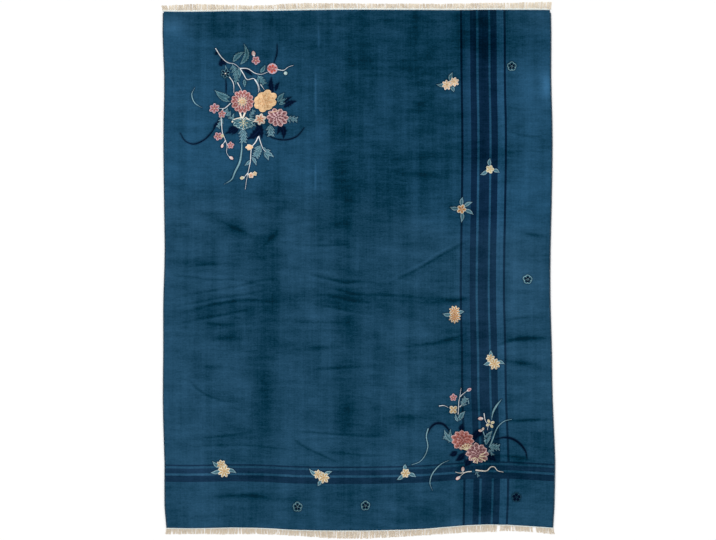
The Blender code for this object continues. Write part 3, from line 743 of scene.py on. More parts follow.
    def peony(self, at, wide, tall, tilt, dyes, cup, rim, rings, uneven=0.10, notch=9, blunt=3.6):
        """A full flower of petals with pale rims, in rings that draw in towards its cup.

        Its rings take the dyes in turn, and a notch below 0 points the petals."""
        tilt = math.radians(tilt)
        turning = np.array([[math.cos(tilt), -math.sin(tilt)], [math.sin(tilt), math.cos(tilt)]])
        squash = turning @ np.diag([wide / 2, tall / 2])
        centre = np.array(at, float)

        def bed(plan):
            return centre + plan / 100 @ squash.T

        for number, tier in enumerate(rings):
            middle = np.array(cup) * 100 * number / len(rings)
            self.ring(
                middle, tier.start, tier.reach, tier.petals, tier.broad, dyes[number % len(dyes)],
                turn=number * 0.35 + 0.2, uneven=uneven,
                blunt=blunt, waist=0.45, rim=rim, heart=0.5, notch=notch, bed=bed,
            )

    def stamens(self, at, radius, turns, dyes):
        """A fan of pale stamens that bursts out between the petals."""
        for turn in turns:
            way = np.array([math.cos(math.radians(turn)), math.sin(math.radians(turn))])
            self.stem([np.array(at), at + 0.6 * radius * way, at + radius * way], 8, dyes, taper=0.1)
            self.eye(at + radius * way, 5, CREAM_EYE)
        self.layer += OVER_A_FAN

    def carve(self, name):
        """Makes the shapes one piece on the rug, with each face in its dye."""
        across, up = np.concatenate(self.places).T
        x, y = on_rug(across, up)
        z = PILE_HEIGHT - fold_depth(across, up) + np.concatenate(self.heights)
        mesh = bpy.data.meshes.new(name)
        mesh.from_pydata(np.column_stack([x, y, z]).tolist(), [], self.faces)
        # nap is the painted light and shade of the tufts, and wear greys their painted sheen
        for attribute, values in (("nap", painted_nap_shading_at(across, up)), ("wear", wear_at(across, up))):
            mesh.attributes.new(attribute, "FLOAT", "POINT").data.foreach_set("value", values)
        sizes = [len(face) for face in self.faces]
        corners = np.column_stack([np.repeat(self.dyes, sizes, axis=0), np.ones(sum(sizes))])
        mesh.attributes.new("dye", "FLOAT_COLOR", "CORNER").data.foreach_set("color", corners.ravel())
        shape = bmesh.new()
        shape.from_mesh(mesh)
        bmesh.ops.recalc_face_normals(shape, faces=shape.faces)
        shape.to_mesh(mesh)
        shape.free()
        mesh.shade_smooth()
        mesh.set_sharp_from_angle(angle=SHARP_EDGE)
        mesh.materials.append(carved_wool)
        piece = bpy.data.objects.new(name, mesh)
        bpy.context.scene.collection.objects.link(piece)
        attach(piece, "root")
        return piece


def own_dye(tree):
    """The dye that each face of a shape was knotted in."""
    return wire(tree, "ShaderNodeAttribute", attribute_name="dye").outputs[0]


carved_wool = wool("carved_wool", own_dye)

# The large bouquet, high on the left. Three full flowers and a lotus hang together under a flowering branch,
# with twigs of small blossoms above and below, toothed leaves, and long dark blades swept out to the sides.

bouquet = Spray(across=0.603, up=2.956, seed=3)
for path, wide in (
    ([(-491, -156), (-457, -210), (-402, -234), (-335, -213), (-267, -149), (-216, -54)], 7),
    ([(110, -170), (187, -202), (263, -207), (333, -182), (384, -124)], 7),
    ([(198, 467), (193, 396), (170, 333)], 6),
    ([(-172, 219), (-170, 170), (-171, 120)], 7),
):
    bouquet.stem(path, wide, NAVY_STEM, swell=True)
for root, tip, wide in (
    ((163, 127), (152, 234), 38), ((241, 21), (326, 64), 38), ((227, 42), (290, 92), 26),
    ((-149, -149), (-99, -113), 26), ((-99, -113), (-170, -163), 34), ((85, -106), (-21, -205), 58),
    ((42, -99), (85, -198), 46), ((219, -99), (237, -198), 44), ((-170, 326), (-202, 375), 36),
    ((-50, 290), (14, 248), 26), ((-85, -113), (-127, -170), 30), ((-255, -127), (-205, -71), 20),
    ((-196, 318), (-212, 350), 26), ((180, 138), (206, 196), 26), ((210, -96), (190, -170), 28),
    ((-240, 396), (-214, 420), 20),
):
    bouquet.leaf(root, tip, wide, NAVY_LEAF, teeth=4)
for root, tip, wide, teeth, bend in (
    ((-117, 343), (-35, 414), 38, 6, 0.5), ((-67, 326), (-37, 471), 38, 8, -1.1),
    ((-83, 299), (-74, 232), 26, 5, 0.3), ((-43, 219), (-39, 166), 24, 4, 0.2),
    ((72, 268), (110, 321), 28, 4, -0.3), ((-142, 92), (-251, 145), 40, 7, 0.5),
    ((-145, 62), (-238, 116), 24, 6, 0.3), ((196, 58), (240, 122), 36, 5, 0.3),
    ((212, 58), (262, 86), 24, 4, -0.2), ((204, 44), (250, 52), 20, 3, 0.2),
    ((46, 184), (60, 230), 22, 3, 0.3), ((-149, 248), (-173, 319), 20, 3, 0.2),
):
    bouquet.leaf(root, tip, wide, TEAL_LEAF, bend=bend, teeth=teeth)
for root, tip, wide, pairs, dyes in (
    ((-124, 328), (-102, 180), 46, 4, TEAL_LEAF), ((54, 246), (98, 180), 46, 2, TEAL_LEAF),
    ((-112, -66), (-172, 14), 48, 2, PALE_LEAF), ((-192, -58), (-232, -118), 40, 2, PALE_LEAF),
    ((-50, -126), (-54, -232), 56, 3, PALE_LEAF), ((2, -56), (34, 2), 34, 2, PALE_LEAF),
    ((74, -246), (32, -328), 56, 3, PALE_LEAF), ((255, -60), (334, -72), 46, 2, PALE_LEAF),
    ((142, -100), (143, -176), 56, 2, PALE_LEAF), ((-8, -118), (40, -104), 28, 1, PALE_LEAF),
):
    bouquet.frond(root, tip, wide, dyes, pairs)
for root, tip, wide in (
    ((98, -298), (168, -330), 30), ((100, -304), (132, -352), 30), ((108, -294), (146, -284), 22),
    ((3, -352), (-38, -390), 24), ((13, -332), (44, -390), 24), ((90, -262), (112, -290), 18),
):
    bouquet.leaf(root, tip, wide, PALE_LEAF, teeth=3)
for path, wide in (
    ([(-392, 166), (-413, 120), (-394, 60), (-338, 21)], 7),
    ([(-55, -191), (-59, -295), (-71, -365), (-107, -440), (-128, -488), (-182, -523)], 13),
):
    bouquet.stem(path, wide, PALE_STEM, swell=True)
for path, wide in (
    ([(-239, 442), (-193, 371), (-152, 337), (-112, 330), (-70, 297)], 8),
    ([(-72, 297), (-16, 295), (38, 262), (79, 255), (124, 270)], 8),
    ([(195, 288), (241, 283), (270, 304), (308, 317)], 7),
    ([(-70, 297), (-47, 258), (-21, 218), (25, 225), (54, 191), (71, 135)], 8),
    ([(32, 219), (53, 184), (61, 127)], 8),
    ([(74, 184), (101, 145)], 7),
    ([(-152, 244), (-121, 198), (-115, 124)], 8),
    ([(-90, 197), (-60, 140)], 8),
    ([(-138, 50), (-185, 14), (-227, 18)], 8),
    (
        [(-191, 11), (-201, -21), (-199, -99), (-192, -160), (-177, -198), (-160, -256), (-164, -297),
         (-148, -328)],
        8,
    ),
    ([(-170, -212), (-191, -241)], 7),
    ([(62, -181), (40, -226), (15, -258), (7, -305), (4, -358), (-9, -421), (-24, -492), (-34, -559)], 8),
    ([(62, -181), (76, -226), (96, -276), (120, -304)], 8),
    ([(-12, -440), (-42, -474)], 7),
):
    bouquet.stem(path, wide, WOODY_STEM)
bouquet.layer = 0.9
for turn, length in ((172, 80), (198, 74), (222, 60), (8, 84), (-20, 76), (-45, 60), (250, 56), (290, 56)):
    bouquet.petal((-47, -81), math.radians(turn), length, 42, LOTUS_WINGS, blunt=2.6, rim=6, heart=0.3)
for path in ([(-127, -85), (-113, -68), (-64, -51)], [(-32, -50), (-4, -68), (50, -82)]):
    bouquet.stem(path, 10, CREAM_EYE, taper=0.4)
bouquet.ring((-45, -92), 4, 46, 7, 26, LOTUS_CUP, turn=0.2, rim=5, blunt=4)
bouquet.eye((-45, -92), 11, SAGE_EYE)
bouquet.stem([(-72, -14), (-54, -56), (-34, -14)], 12, CREAM_EYE, taper=0)
bouquet.blossom((-252, 16), 37, PLUM_BLOSSOM, turn=0.5, count=6)
bouquet.blossom((-198, -25), 28, RED_BLOSSOM)
bouquet.eye((159, 295), 38, ROSE_ROUND)
bouquet.ring((159, 295), 3, 35, 6, 31, EMBER_PETALS, turn=0.3, rim=5, blunt=4, heart=0.4)
bouquet.eye((159, 295), 6, DARK_EYE)
bouquet.blossom((44, 353), 32, PLUM_BLOSSOM, turn=0.9)
bouquet.blossom((-174, 261), 36, STAR_BLOSSOM, CREAM_EYE, count=6)
bouquet.blossom((-224, -183), 31, PLUM_BLOSSOM, turn=0.8)
bouquet.blossom((-194, -180), 14, BUTTER_BLOSSOM, AMBER_EYE)
bouquet.blossom((-135, -248), 26, RED_BLOSSOM)
bouquet.blossom((8, -460), 22, BLUSH_BLOSSOM, AMBER_EYE)
bouquet.blossom((34, -448), 17, CREAM_BLOSSOM, AMBER_EYE)
for at, turn, length, dyes in (
    ((32, 382), 98, 38, PINK_BUD), ((-190, -238), -108, 28, PINK_BUD),
    ((-144, -328), -35, 32, PINK_BUD), ((-38, -474), 195, 34, BUTTER_BLOSSOM),
):
    bouquet.bud(at, turn, length, dyes)
bouquet.eye((252, 261), 13, FROST_EYE)
for turn, length, wide in ((3.2, 54, 28), (3.6, 44, 22), (2.8, 44, 22)):
    bouquet.petal((22, -260), turn, length, wide, PEACH_PETALS, blunt=3)
bouquet.layer = 1.1
bouquet.peony(
    (107, 65), wide=170, tall=152, tilt=20, dyes=(GOLD_PETALS, PALE_GOLD), cup=(-0.1, -0.1), rim=5,
    rings=GOLD_PEONY, uneven=0.16,
)
bouquet.layer = 1.1
bouquet.peony(
    (195, -50), wide=154, tall=130, tilt=-12, dyes=(MAUVE_PETALS,), cup=(-0.05, -0.05), rim=9,
    rings=LATTICE_PEONY, notch=-5, blunt=3.4,
)
bouquet.stem([(128, -24), (160, -12), (190, -4), (222, 2)], 7, PEACH_PETALS, swell=True)
bouquet.layer = 1.5
bouquet.blossom((73, -63), 42, BLUSH_BLOSSOM, AMBER_EYE, count=6)
bouquet.layer = 1.1
bouquet.chrysanthemum((-55, 62), 82)
shapes = [bouquet.carve("bouquet")]

# The corner spray, low on the right over the stripes. Two peonies lean together between a flowering twig
# and thin pale blades, dark blades curl out on both sides, and a gnarled twig lies below.

corner_spray = Spray(across=2.146, up=0.564, seed=8)
for path in (
    [(-298, 102), (-278, 142), (-238, 173), (-192, 168), (-156, 132), (-135, 92)],
    [(181, 42), (239, 56), (297, 47), (350, 12), (386, -41), (393, -88)],
):
    corner_spray.stem(path, 13, NAVY_STEM, swell=True)
for root, tip, wide in (
    ((28, 35), (64, 113), 40), ((50, 64), (96, 99), 34), ((-50, -50), (-106, -99), 40),
    ((-14, -92), (-42, -142), 44), ((120, -78), (170, -113), 40), ((-99, -35), (-149, -57), 36),
    ((99, 35), (135, 57), 34), ((-57, 106), (-50, 156), 34),
):
    corner_spray.leaf(root, tip, wide, NAVY_LEAF)
for root, tip, wide, teeth in (
    ((108, 2), (156, 102), 44, 6), ((-127, 38), (-179, 124), 32, 5), ((-127, 42), (-136, 127), 24, 5),
    ((-71, 183), (-28, 246), 36, 5), ((-81, 177), (-96, 231), 20, 3),
):
    corner_spray.leaf(root, tip, wide, PALE_LEAF, teeth=teeth)
for root, tip, wide, pairs, dyes in (
    ((127, -14), (196, -20), 52, 2, PALE_LEAF), ((-131, 36), (-192, 80), 26, 1, PALE_LEAF),
    ((-52, 280), (-14, 338), 46, 2, PALE_LEAF), ((127, -30), (149, -74), 32, 1, PALE_LEAF),
    ((35, -184), (52, -222), 26, 1, PALE_LEAF),
):
    corner_spray.frond(root, tip, wide, dyes, pairs)
for path, wide, swell in (
    ([(-292, 142), (-307, 94), (-300, 12), (-322, -47), (-358, -88), (-418, -110)], 8, False),
    ([(-157, -94), (-204, -112), (-246, -147), (-278, -195), (-287, -248), (-269, -297)], 8, True),
    ([(154, 180), (167, 234), (192, 279), (232, 329)], 12, True),
    ([(132, -14), (152, 31), (172, 82), (198, 132), (243, 171), (297, 187)], 10, False),
    ([(-1, 297), (-4, 323), (-39, 337)], 6, False),
    ([(91, 99), (103, 52), (103, 7)], 7, False),
):
    corner_spray.stem(path, wide, PALE_STEM, swell=swell)
for path, wide in (
    ([(-79, 227), (-74, 274), (-71, 314), (-61, 360), (-52, 413)], 7),
    ([(-62, 351), (-25, 380), (-7, 392)], 7),
    ([(-67, 278), (-34, 309)], 7),
    ([(-211, 295), (-177, 296), (-146, 280)], 7),
    ([(103, 227), (111, 173), (127, 142), (122, 106)], 7),
    ([(123, 139), (144, 149)], 7),
):
    corner_spray.stem(path, wide, WOODY_STEM)
for path, wide in (
    ([(32, -174), (67, -180), (115, -180), (138, -156), (161, -154), (185, -180), (227, -190)], 11),
    ([(4, -183), (-45, -189), (-69, -207), (-88, -222)], 8),
    ([(-45, -188), (-80, -189), (-111, -179)], 7),
):
    corner_spray.stem(path, wide, KNOTTY_STEM)
corner_spray.layer = 0.9
corner_spray.blossom((-112, 262), 32, CREAM_BLOSSOM, DARK_EYE, count=4, turn=0.7)
corner_spray.ring((143, 152), 6, 34, 4, 22, BUTTER_BLOSSOM, turn=0.5, rim=4, blunt=3)
corner_spray.blossom((-108, 349), 27, PLUM_BLOSSOM)
for at, turn, length, dyes in (
    ((-11, 389), 30, 34, PLUM_BLOSSOM), ((96, 190), 180, 36, PINK_BUD), ((86, 102), 170, 28, PINK_BUD),
    ((85, 105), 60, 24, BLUSH_BLOSSOM), ((-58, -181), 88, 34, PINK_BUD), ((-76, -215), 212, 34, PINK_BUD),
):
    corner_spray.bud(at, turn, length, dyes)
corner_spray.layer = 1.1
corner_spray.peony(
    (-55, 42), wide=166, tall=142, tilt=-18, dyes=(CORAL_PETALS,), cup=(0.15, -0.2), rim=6,
    rings=POINTED_PEONY, notch=-8, blunt=2.8,
)
corner_spray.layer = 1.5
corner_spray.peony(
    (45, -54), wide=162, tall=138, tilt=-18, dyes=(DUSK_PETALS,), cup=(0.15, -0.25), rim=7,
    rings=POINTED_PEONY, notch=-8, blunt=2.8,
)
corner_spray.stamens((44, -80), 44, (200, 234, 268), STAMEN_WOOL)
corner_spray.stamens((44, -80), 60, (-30, 0, 26), STAMEN_WOOL)
corner_spray.stamens((-30, -28), 42, (158, 128, 100, 72, 42), STAMEN_WOOL)
corner_spray.stem([(-80, -16), (-56, 2), (-26, 10), (14, 2)], 9, PEACH_PETALS, swell=True)
shapes.append(corner_spray.carve("corner_spray"))

# The scattered blossoms. Pairs and single peach blossoms with a few leaves lie beside and on the stripes,
# and small outlined ones lie outside them.

# Each sprig: its blossoms by place, radius and number of petals, and its leaves by turn in degrees and reach
Sprig = namedtuple("Sprig", "across up dyes blossoms leaves")
SPRIGS = (
    Sprig(
        across=2.015, up=3.136, dyes=APRICOT_BLOSSOM,
        blossoms=[(33, 14, 35, 7), (-19, -6, 37, 7)], leaves=[(74, 84), (182, 92), (-62, 64)],
    ),
    Sprig(
        across=2.297, up=2.527, dyes=BUTTER_BLOSSOM,
        blossoms=[(0, -2, 32, 5)], leaves=[(90, 76), (210, 78), (-20, 72)],
    ),
    Sprig(
        across=2.099, up=2.249, dyes=PEACH_BLOSSOM,
        blossoms=[(0, -4, 35, 5)], leaves=[(84, 82), (170, 82), (30, 88), (-28, 96), (-90, 96)],
    ),
    Sprig(
        across=2.055, up=1.501, dyes=PEACH_BLOSSOM,
        blossoms=[(0, 23, 39, 9), (2, -19, 44, 11)], leaves=[(174, 84), (12, 72)],
    ),
    Sprig(
        across=2.321, up=1.162, dyes=CREAM_BLOSSOM,
        blossoms=[(-19, 19, 33, 7), (9, -19, 43, 8)], leaves=[(101, 78), (200, 72), (-14, 84)],
    ),
    Sprig(
        across=0.410, up=0.415, dyes=CREAM_BLOSSOM,
        blossoms=[(-18, 33, 34, 7), (3, -14, 45, 8)], leaves=[(144, 98), (194, 96), (-18, 92)],
    ),
    Sprig(
        across=1.094, up=0.371, dyes=CREAM_BLOSSOM,
        blossoms=[(-23, 23, 33, 7), (19, 0, 39, 7)], leaves=[(144, 104), (30, 88), (-112, 62)],
    ),
    Sprig(
        across=1.686, up=0.400, dyes=CREAM_BLOSSOM,
        blossoms=[(0, -2, 35, 6)], leaves=[(92, 60), (218, 76), (-24, 80)],
    ),
)
OUTLINED = ((2.458, 3.258), (2.576, 1.749), (0.929, 0.163), (1.407, 0.175))
HIDDEN = (2.468, 0.198)
OUTLINED_REACH = 34
OUTLINED_PETALS = Dyes(rim=PALE_TEAL, fill=DEEP_TEAL, heart=INK, vein=INK)
HIDDEN_PETALS = Dyes(rim=DEEP_TEAL, fill=INK, heart=INK, vein=INK)
LEAF_ROOT = 22
LEAF_BREADTH = 27
BLOSSOM_LIFT = 0.5

sprigs = Spray(across=0.0, up=0.0, seed=5)
for sprig in SPRIGS:
    sprigs.heart = np.array([sprig.across, sprig.up])
    sprigs.layer = 0.0
    for turn, length in sprig.leaves:
        way = np.array([math.cos(math.radians(turn)), math.sin(math.radians(turn))])
        sprigs.leaf(way * LEAF_ROOT, way * length, LEAF_BREADTH, PALE_LEAF, rim=4.5)
    for right, above, radius, count in sprig.blossoms:
        sprigs.layer += BLOSSOM_LIFT
        sprigs.blossom((right, above), radius, sprig.dyes, AMBER_EYE, count, turn=above / 40)
for place, dyes in [*((place, OUTLINED_PETALS) for place in OUTLINED), (HIDDEN, HIDDEN_PETALS)]:
    sprigs.heart = np.array(place)
    sprigs.layer = 0.0
    sprigs.ring(
        (0, 0), 4, OUTLINED_REACH, 5, 36, dyes, turn=math.pi / 2,
        rim=5, blunt=4, waist=0.3, heart=0.55,
    )
    sprigs.eye((0, 0), 6, dyes)
shapes.append(sprigs.carve("scattered_blossoms"))

# The pile. It is one thick sheet of knots, rounded where it ends, with the grooves that the shears cut
# about every shape, darkened with painted shade. Dark stripes are woven up its right side and across its
# near end.

OPEN_SPACING = 0.018
GRADED_SPACING = 0.0095
GROOVE_SPACING = 0.0048
GRADED_REACH = 0.028
GROOVE_ZONE = 0.013
UNDER_ZONE = 0.005
CREASE_ZONE = 0.022
GROOVE_REACH = 0.008
GROOVE_DEPTH = 0.0032
UNDER_SHAPES = 0.0046
# How far the painted shade in the grooves reaches out from the shapes, and how dark it gets
PAINTED_SHADE_REACH = 0.013
PAINTED_SHADE_SHARE = 0.70
OUTLINE_STEP = 0.004
SHOULDER_RINGS = (0, 0.002, 0.005, 0.009, 0.014)
SHOULDER_WIDTH = 0.012
SHOULDER_DROP = 0.006
RIM_SPACING = 0.018
STRIPES_SPAN = 0.5
STRIPES_MARGIN = 0.05
RAGGED_EDGE = 0.003
BLUE, SHADED_BLUE, CLEAR_BLUE = dye(11, 64, 89), dye(9, 60, 87), dye(16, 70, 98)
MIDNIGHT, DARK_BLUE, INK_BLUE = dye(1, 32, 56), dye(3, 36, 61), dye(0, 26, 48)
LIGHT_BLUE, SOFT_DARK = dye(17, 72, 99), dye(3, 38, 63)
BACK_COTTON = dye(120, 130, 130)
RUBBED_AWAY = 0.21

Stripe = namedtuple("Stripe", "start stop colour")
STRIPES_UP = (
    Stripe(2.094, 2.110, INK_BLUE),
    Stripe(2.110, 2.164, SHADED_BLUE),
    Stripe(2.164, 2.208, MIDNIGHT),
    Stripe(2.208, 2.222, LIGHT_BLUE),
    Stripe(2.222, 2.293, DARK_BLUE),
    Stripe(2.293, 2.307, LIGHT_BLUE),
    Stripe(2.307, 2.351, MIDNIGHT),
    Stripe(2.351, 2.401, CLEAR_BLUE),
    Stripe(2.401, 2.417, INK_BLUE),
)
STRIPES_ACROSS = (
    Stripe(0.328, 0.373, MIDNIGHT),
    Stripe(0.373, 0.389, LIGHT_BLUE),
    Stripe(0.389, 0.424, SOFT_DARK),
    Stripe(0.424, 0.440, BLUE),
    Stripe(0.440, 0.450, MIDNIGHT),
)


def striped(tree, place, stripes, ground):
    """Lays the stripes of one direction over the ground, by the place across them."""
    start = stripes[0].start - STRIPES_MARGIN
    share = reckon(tree, "DIVIDE", reckon(tree, "SUBTRACT", place, start), STRIPES_SPAN)
    ramp = wire(tree, "ShaderNodeValToRGB", {0: share})
    band = ramp.color_ramp
    band.interpolation = "CONSTANT"
    band.elements[0].color = (*stripes[0].colour, 0)
    band.elements[1].position = (stripes[-1].stop - start) / STRIPES_SPAN
    band.elements[1].color = (*stripes[-1].colour, 0)
    for stripe in stripes:
        band.elements.new((stripe.start - start) / STRIPES_SPAN).color = (*stripe.colour, 1)
    return blend(tree, ramp.outputs["Alpha"], ground, ramp.outputs["Color"])


def ground_dye(tree):
    """The blue ground and its stripes, fainter where worn, with painted shade in the grooves about the
    shapes.
    """
    loom = wire(tree, "ShaderNodeAttribute", attribute_name="loom").outputs["Vector"]
    knots = {"Vector": loom, "Scale": KNOTS_PER_METRE / 2}
    ragged = wire(tree, "ShaderNodeTexNoise", knots, noise_dimensions="2D").outputs["Color"]
    shift = wire(tree, "ShaderNodeVectorMath", {0: ragged, "Scale": RAGGED_EDGE}, operation="SCALE")
    moved = wire(tree, "ShaderNodeVectorMath", {0: loom, 1: shift.outputs[0]}, operation="ADD").outputs[0]
    place = wire(tree, "ShaderNodeSeparateXYZ", {0: moved}).outputs
    colour = striped(tree, place[0], STRIPES_UP, (*BLUE, 1))
    colour = striped(tree, place[1], STRIPES_ACROSS, colour)
    wear = wire(tree, "ShaderNodeAttribute", attribute_name="wear").outputs["Fac"]
    colour = blend(tree, reckon(tree, "MULTIPLY", wear, RUBBED_AWAY), colour, (*BLUE, 1))
    # Painted shade: the ground darkens towards ink blue in the grooves about the shapes and under them.
    painted_groove_shade = wire(tree, "ShaderNodeAttribute", attribute_name="painted_groove_shade").outputs["Fac"]
    return blend(tree, painted_groove_shade, colour, (*INK_BLUE, 1))


def woven_back():
    """The flat underside, where the knots show between rows of cotton weft."""
    material = bpy.data.materials.new("woven_back")
    material.use_nodes = True
    tree = material.node_tree
    place = tree.nodes.new("ShaderNodeTexCoord").outputs["Object"]
    rows = {
        "Vector": place, "Scale": KNOTS_PER_METRE, "Brick Width": 1.0, "Row Height": 1.0,
        "Mortar Size": 0.12, "Mortar Smooth": 0.6, "Mortar": (*BACK_COTTON, 1),
        "Color1": (*BLUE, 1), "Color2": (*SHADED_BLUE, 1),
    }
    knots = wire(tree, "ShaderNodeTexBrick", rows)
    relief = {"Height": knots.outputs["Fac"], "Distance": TUFT_RELIEF}
    bump = wire(tree, "ShaderNodeBump", relief, invert=True)
    shader = tree.nodes["Principled BSDF"]
    shader.inputs["Roughness"].default_value = 0.9
    tree.links.new(knots.outputs["Color"], shader.inputs["Base Color"])
    tree.links.new(bump.outputs[0], shader.inputs["Normal"])
    return material


def lattice(spacing, low, high):
    """Places in staggered rows."""
    ups = np.arange(low[1], high[1], spacing * math.sqrt(3) / 2)
    rows = [np.arange(low[0] + (row % 2) * spacing / 2, high[0], spacing) for row in range(len(ups))]
    return np.column_stack([np.concatenate(rows), np.repeat(ups, [len(row) for row in rows])])


def rim_rings():
    """Rings of places along the rim, closer together where the pile rounds off. The outermost comes first."""
    rings = []
    counts = np.ceil(LOOM_SIZE / RIM_SPACING).astype(int)
    for inset in SHOULDER_RINGS:
        across = np.unique(np.clip(np.linspace(0, LOOM_WIDTH, counts[0] + 1), inset, LOOM_WIDTH - inset))
        up = np.unique(np.clip(np.linspace(0, LOOM_LENGTH, counts[1] + 1), inset, LOOM_LENGTH - inset))
        near = np.column_stack([across, np.full(len(across), up[0])])
        right = np.column_stack([np.full(len(up), across[-1]), up])
        far = np.column_stack([across[::-1], np.full(len(across), up[-1])])
        left = np.column_stack([np.full(len(up), across[0]), up[::-1]])
        rings.append(np.concatenate([near[:-1], right[:-1], far[:-1], left[:-1]]))
    return rings


def inside_any(places, outlines):
    """Which places lie inside at least one outline."""
    inside = np.zeros(len(places), bool)
    for outline in outlines:
        near = np.flatnonzero(((places > outline.min(axis=0)) & (places < outline.max(axis=0))).all(axis=1))
        if not len(near):
            continue
        x, y = places[near].T
        x0, y0 = outline.T[..., None]
        x1, y1 = np.roll(outline, -1, axis=0).T[..., None]
        rise = np.where(y1 == y0, 1, y1 - y0)
        crossed = ((y0 > y) != (y1 > y)) & (x < (x1 - x0) * (y - y0) / rise + x0)
        inside[near] |= crossed.sum(axis=0) % 2 == 1
    return inside


def bare_rims(outlines):
    """Places all along the outlines, apart from where one shape lies over another."""
    kept = []
    lows = np.array([outline.min(axis=0) for outline in outlines])
    highs = np.array([outline.max(axis=0) for outline in outlines])
    for number, outline in enumerate(outlines):
        closed = np.vstack([outline, outline[:1]])
        marks = np.concatenate([[0], np.cumsum(np.linalg.norm(np.diff(closed, axis=0), axis=1))])
        at = np.linspace(0, marks[-1], max(8, round(marks[-1] / OUTLINE_STEP)), endpoint=False)
        places = np.column_stack([np.interp(at, marks, closed[:, axis]) for axis in (0, 1)])
        meets = ((lows < highs[number]) & (highs > lows[number])).all(axis=1)
        meets[number] = False
        kept.append(places[~inside_any(places, [outlines[other] for other in np.flatnonzero(meets)])])
    return np.concatenate(kept)


def distance_finder(marks):
    """A function that gives the distance from each of its places to the nearest of these marks."""
    nearest = kdtree.KDTree(len(marks))
    for number, (across, up) in enumerate(marks):
        nearest.insert((across, up, 0), number)
    nearest.balance()
    return lambda places: np.array([nearest.find((across, up, 0))[2] for across, up in places])


def knotted_field(outlines):
    """The pile as one closed mesh, fine about the shapes and wider on the open ground."""
    bare = bare_rims(outlines)
    lines = np.concatenate([through(crease.path, OUTLINE_STEP) for crease in CREASES])
    rim_distance, crease_distance = distance_finder(bare), distance_finder(lines)
    margin = SHOULDER_RINGS[-1] + OPEN_SPACING / 2
    rings = rim_rings()
    places = [np.concatenate(rings)]
    for spacing, start, stop in (
        (OPEN_SPACING, GRADED_REACH, math.inf),
        (GRADED_SPACING, GROOVE_ZONE, GRADED_REACH),
        (GROOVE_SPACING, 0.0, GROOVE_ZONE),
    ):
        candidates = lattice(spacing, (margin, margin), LOOM_SIZE - margin)
        if stop < math.inf:
            cells = np.unique(np.floor(np.concatenate([bare, lines]) / stop).astype(int), axis=0)
            beside = [(right, above) for right in (-1, 0, 1) for above in (-1, 0, 1)]
            close = {(x + right, y + above) for x, y in cells.tolist() for right, above in beside}
            rows = np.floor(candidates / stop).astype(int).tolist()
            candidates = candidates[[tuple(row) in close for row in rows]]
        far_off, off_crease = rim_distance(candidates), crease_distance(candidates)
        inside = inside_any(candidates, outlines)
        if spacing == OPEN_SPACING:
            wanted = ~inside & (far_off >= start) & (off_crease >= CREASE_ZONE)
        elif spacing == GRADED_SPACING:
            wanted = ~inside & (far_off >= start) & ((far_off < stop) | (off_crease < CREASE_ZONE))
        else:
            wanted = (far_off < stop) & (~inside | (far_off < UNDER_ZONE))
        places.append(candidates[wanted])
    places = np.concatenate(places)

    across, up = places.T
    far_off, inside = rim_distance(places), inside_any(places, outlines)
    inset = np.minimum(np.minimum(across, LOOM_WIDTH - across), np.minimum(up, LOOM_LENGTH - up))
    rounding = 1 - np.sqrt(np.clip(1 - (1 - np.clip(inset / SHOULDER_WIDTH, 0, 1)) ** 2, 0, 1))
    ease = np.clip(1 - far_off / GROOVE_REACH, 0, 1)
    cut = GROOVE_DEPTH * ease * ease * (3 - 2 * ease)
    under = np.clip(far_off / UNDER_ZONE * 2, 0, 1) * (UNDER_SHAPES - GROOVE_DEPTH)
    depth = fold_depth(across, up) + SHOULDER_DROP * rounding
    height = PILE_HEIGHT - depth - np.where(inside, GROOVE_DEPTH + under, cut)
    x, y = on_rug(across, up)

    points, _, faces, *_ = delaunay_2d_cdt(places.tolist(), [], [], 0, 1e-7)
    if len(points) != len(places):
        raise ValueError("two of the pile's points lie on each other")
    rim = list(range(len(rings[0])))
    hem_start = len(places)
    turns = zip(rim, rim[1:] + rim[:1])
    skirt = [(start, start + hem_start, stop + hem_start, stop) for start, stop in turns]
    _, _, back, *_ = delaunay_2d_cdt(rings[0].tolist(), [], [], 0, 1e-7)
    back = [tuple(corner + hem_start for corner in reversed(face)) for face in back]
    hem = np.column_stack([x[rim], y[rim], np.zeros(len(rim))])
    mesh = bpy.data.meshes.new("blue_pile")
    mesh.from_pydata(np.vstack([np.column_stack([x, y, height]), hem]).tolist(), [], faces + skirt + back)

    loom = np.column_stack([places, np.zeros(len(places))])
    # Painted shade in the grooves: darkest at the outlines and under the shapes, fading out a little way off.
    # The nap is painted light and shade too.
    painted_shade = np.where(inside, 1, np.clip(1 - far_off / PAINTED_SHADE_REACH, 0, 1) ** 1.5) * PAINTED_SHADE_SHARE
    for name, kind, field, values in (
        ("loom", "FLOAT_VECTOR", "vector", np.vstack([loom, loom[rim]])),
        ("nap", "FLOAT", "value", np.concatenate([painted_nap_shading_at(across, up), np.zeros(len(rim))])),
        ("wear", "FLOAT", "value", np.concatenate([wear_at(across, up), np.zeros(len(rim))])),
        ("painted_groove_shade", "FLOAT", "value", np.concatenate([painted_shade, np.zeros(len(rim))])),
    ):
        mesh.attributes.new(name, kind, "POINT").data.foreach_set(field, values.ravel())
    mesh.materials.append(wool("ground_wool", ground_dye))
    mesh.materials.append(woven_back())
    for face in mesh.polygons[len(faces) + len(skirt):]:
        face.material_index = 1
    mesh.shade_smooth()
    mesh.set_sharp_from_angle(angle=SHARP_EDGE)
    return mesh


carved_outlines = bouquet.outlines + corner_spray.outlines + sprigs.outlines
pile = bpy.data.objects.new("blue_pile", knotted_field(carved_outlines))
bpy.context.scene.collection.objects.link(pile)
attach(pile, "root")
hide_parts("knotted_pile")

# The side cords. A bundle of warps along each side is wrapped in blue wool yarn, turn against turn, and sewn
# to the pile. Each turn leans a little, because the yarn goes round in one long spiral.

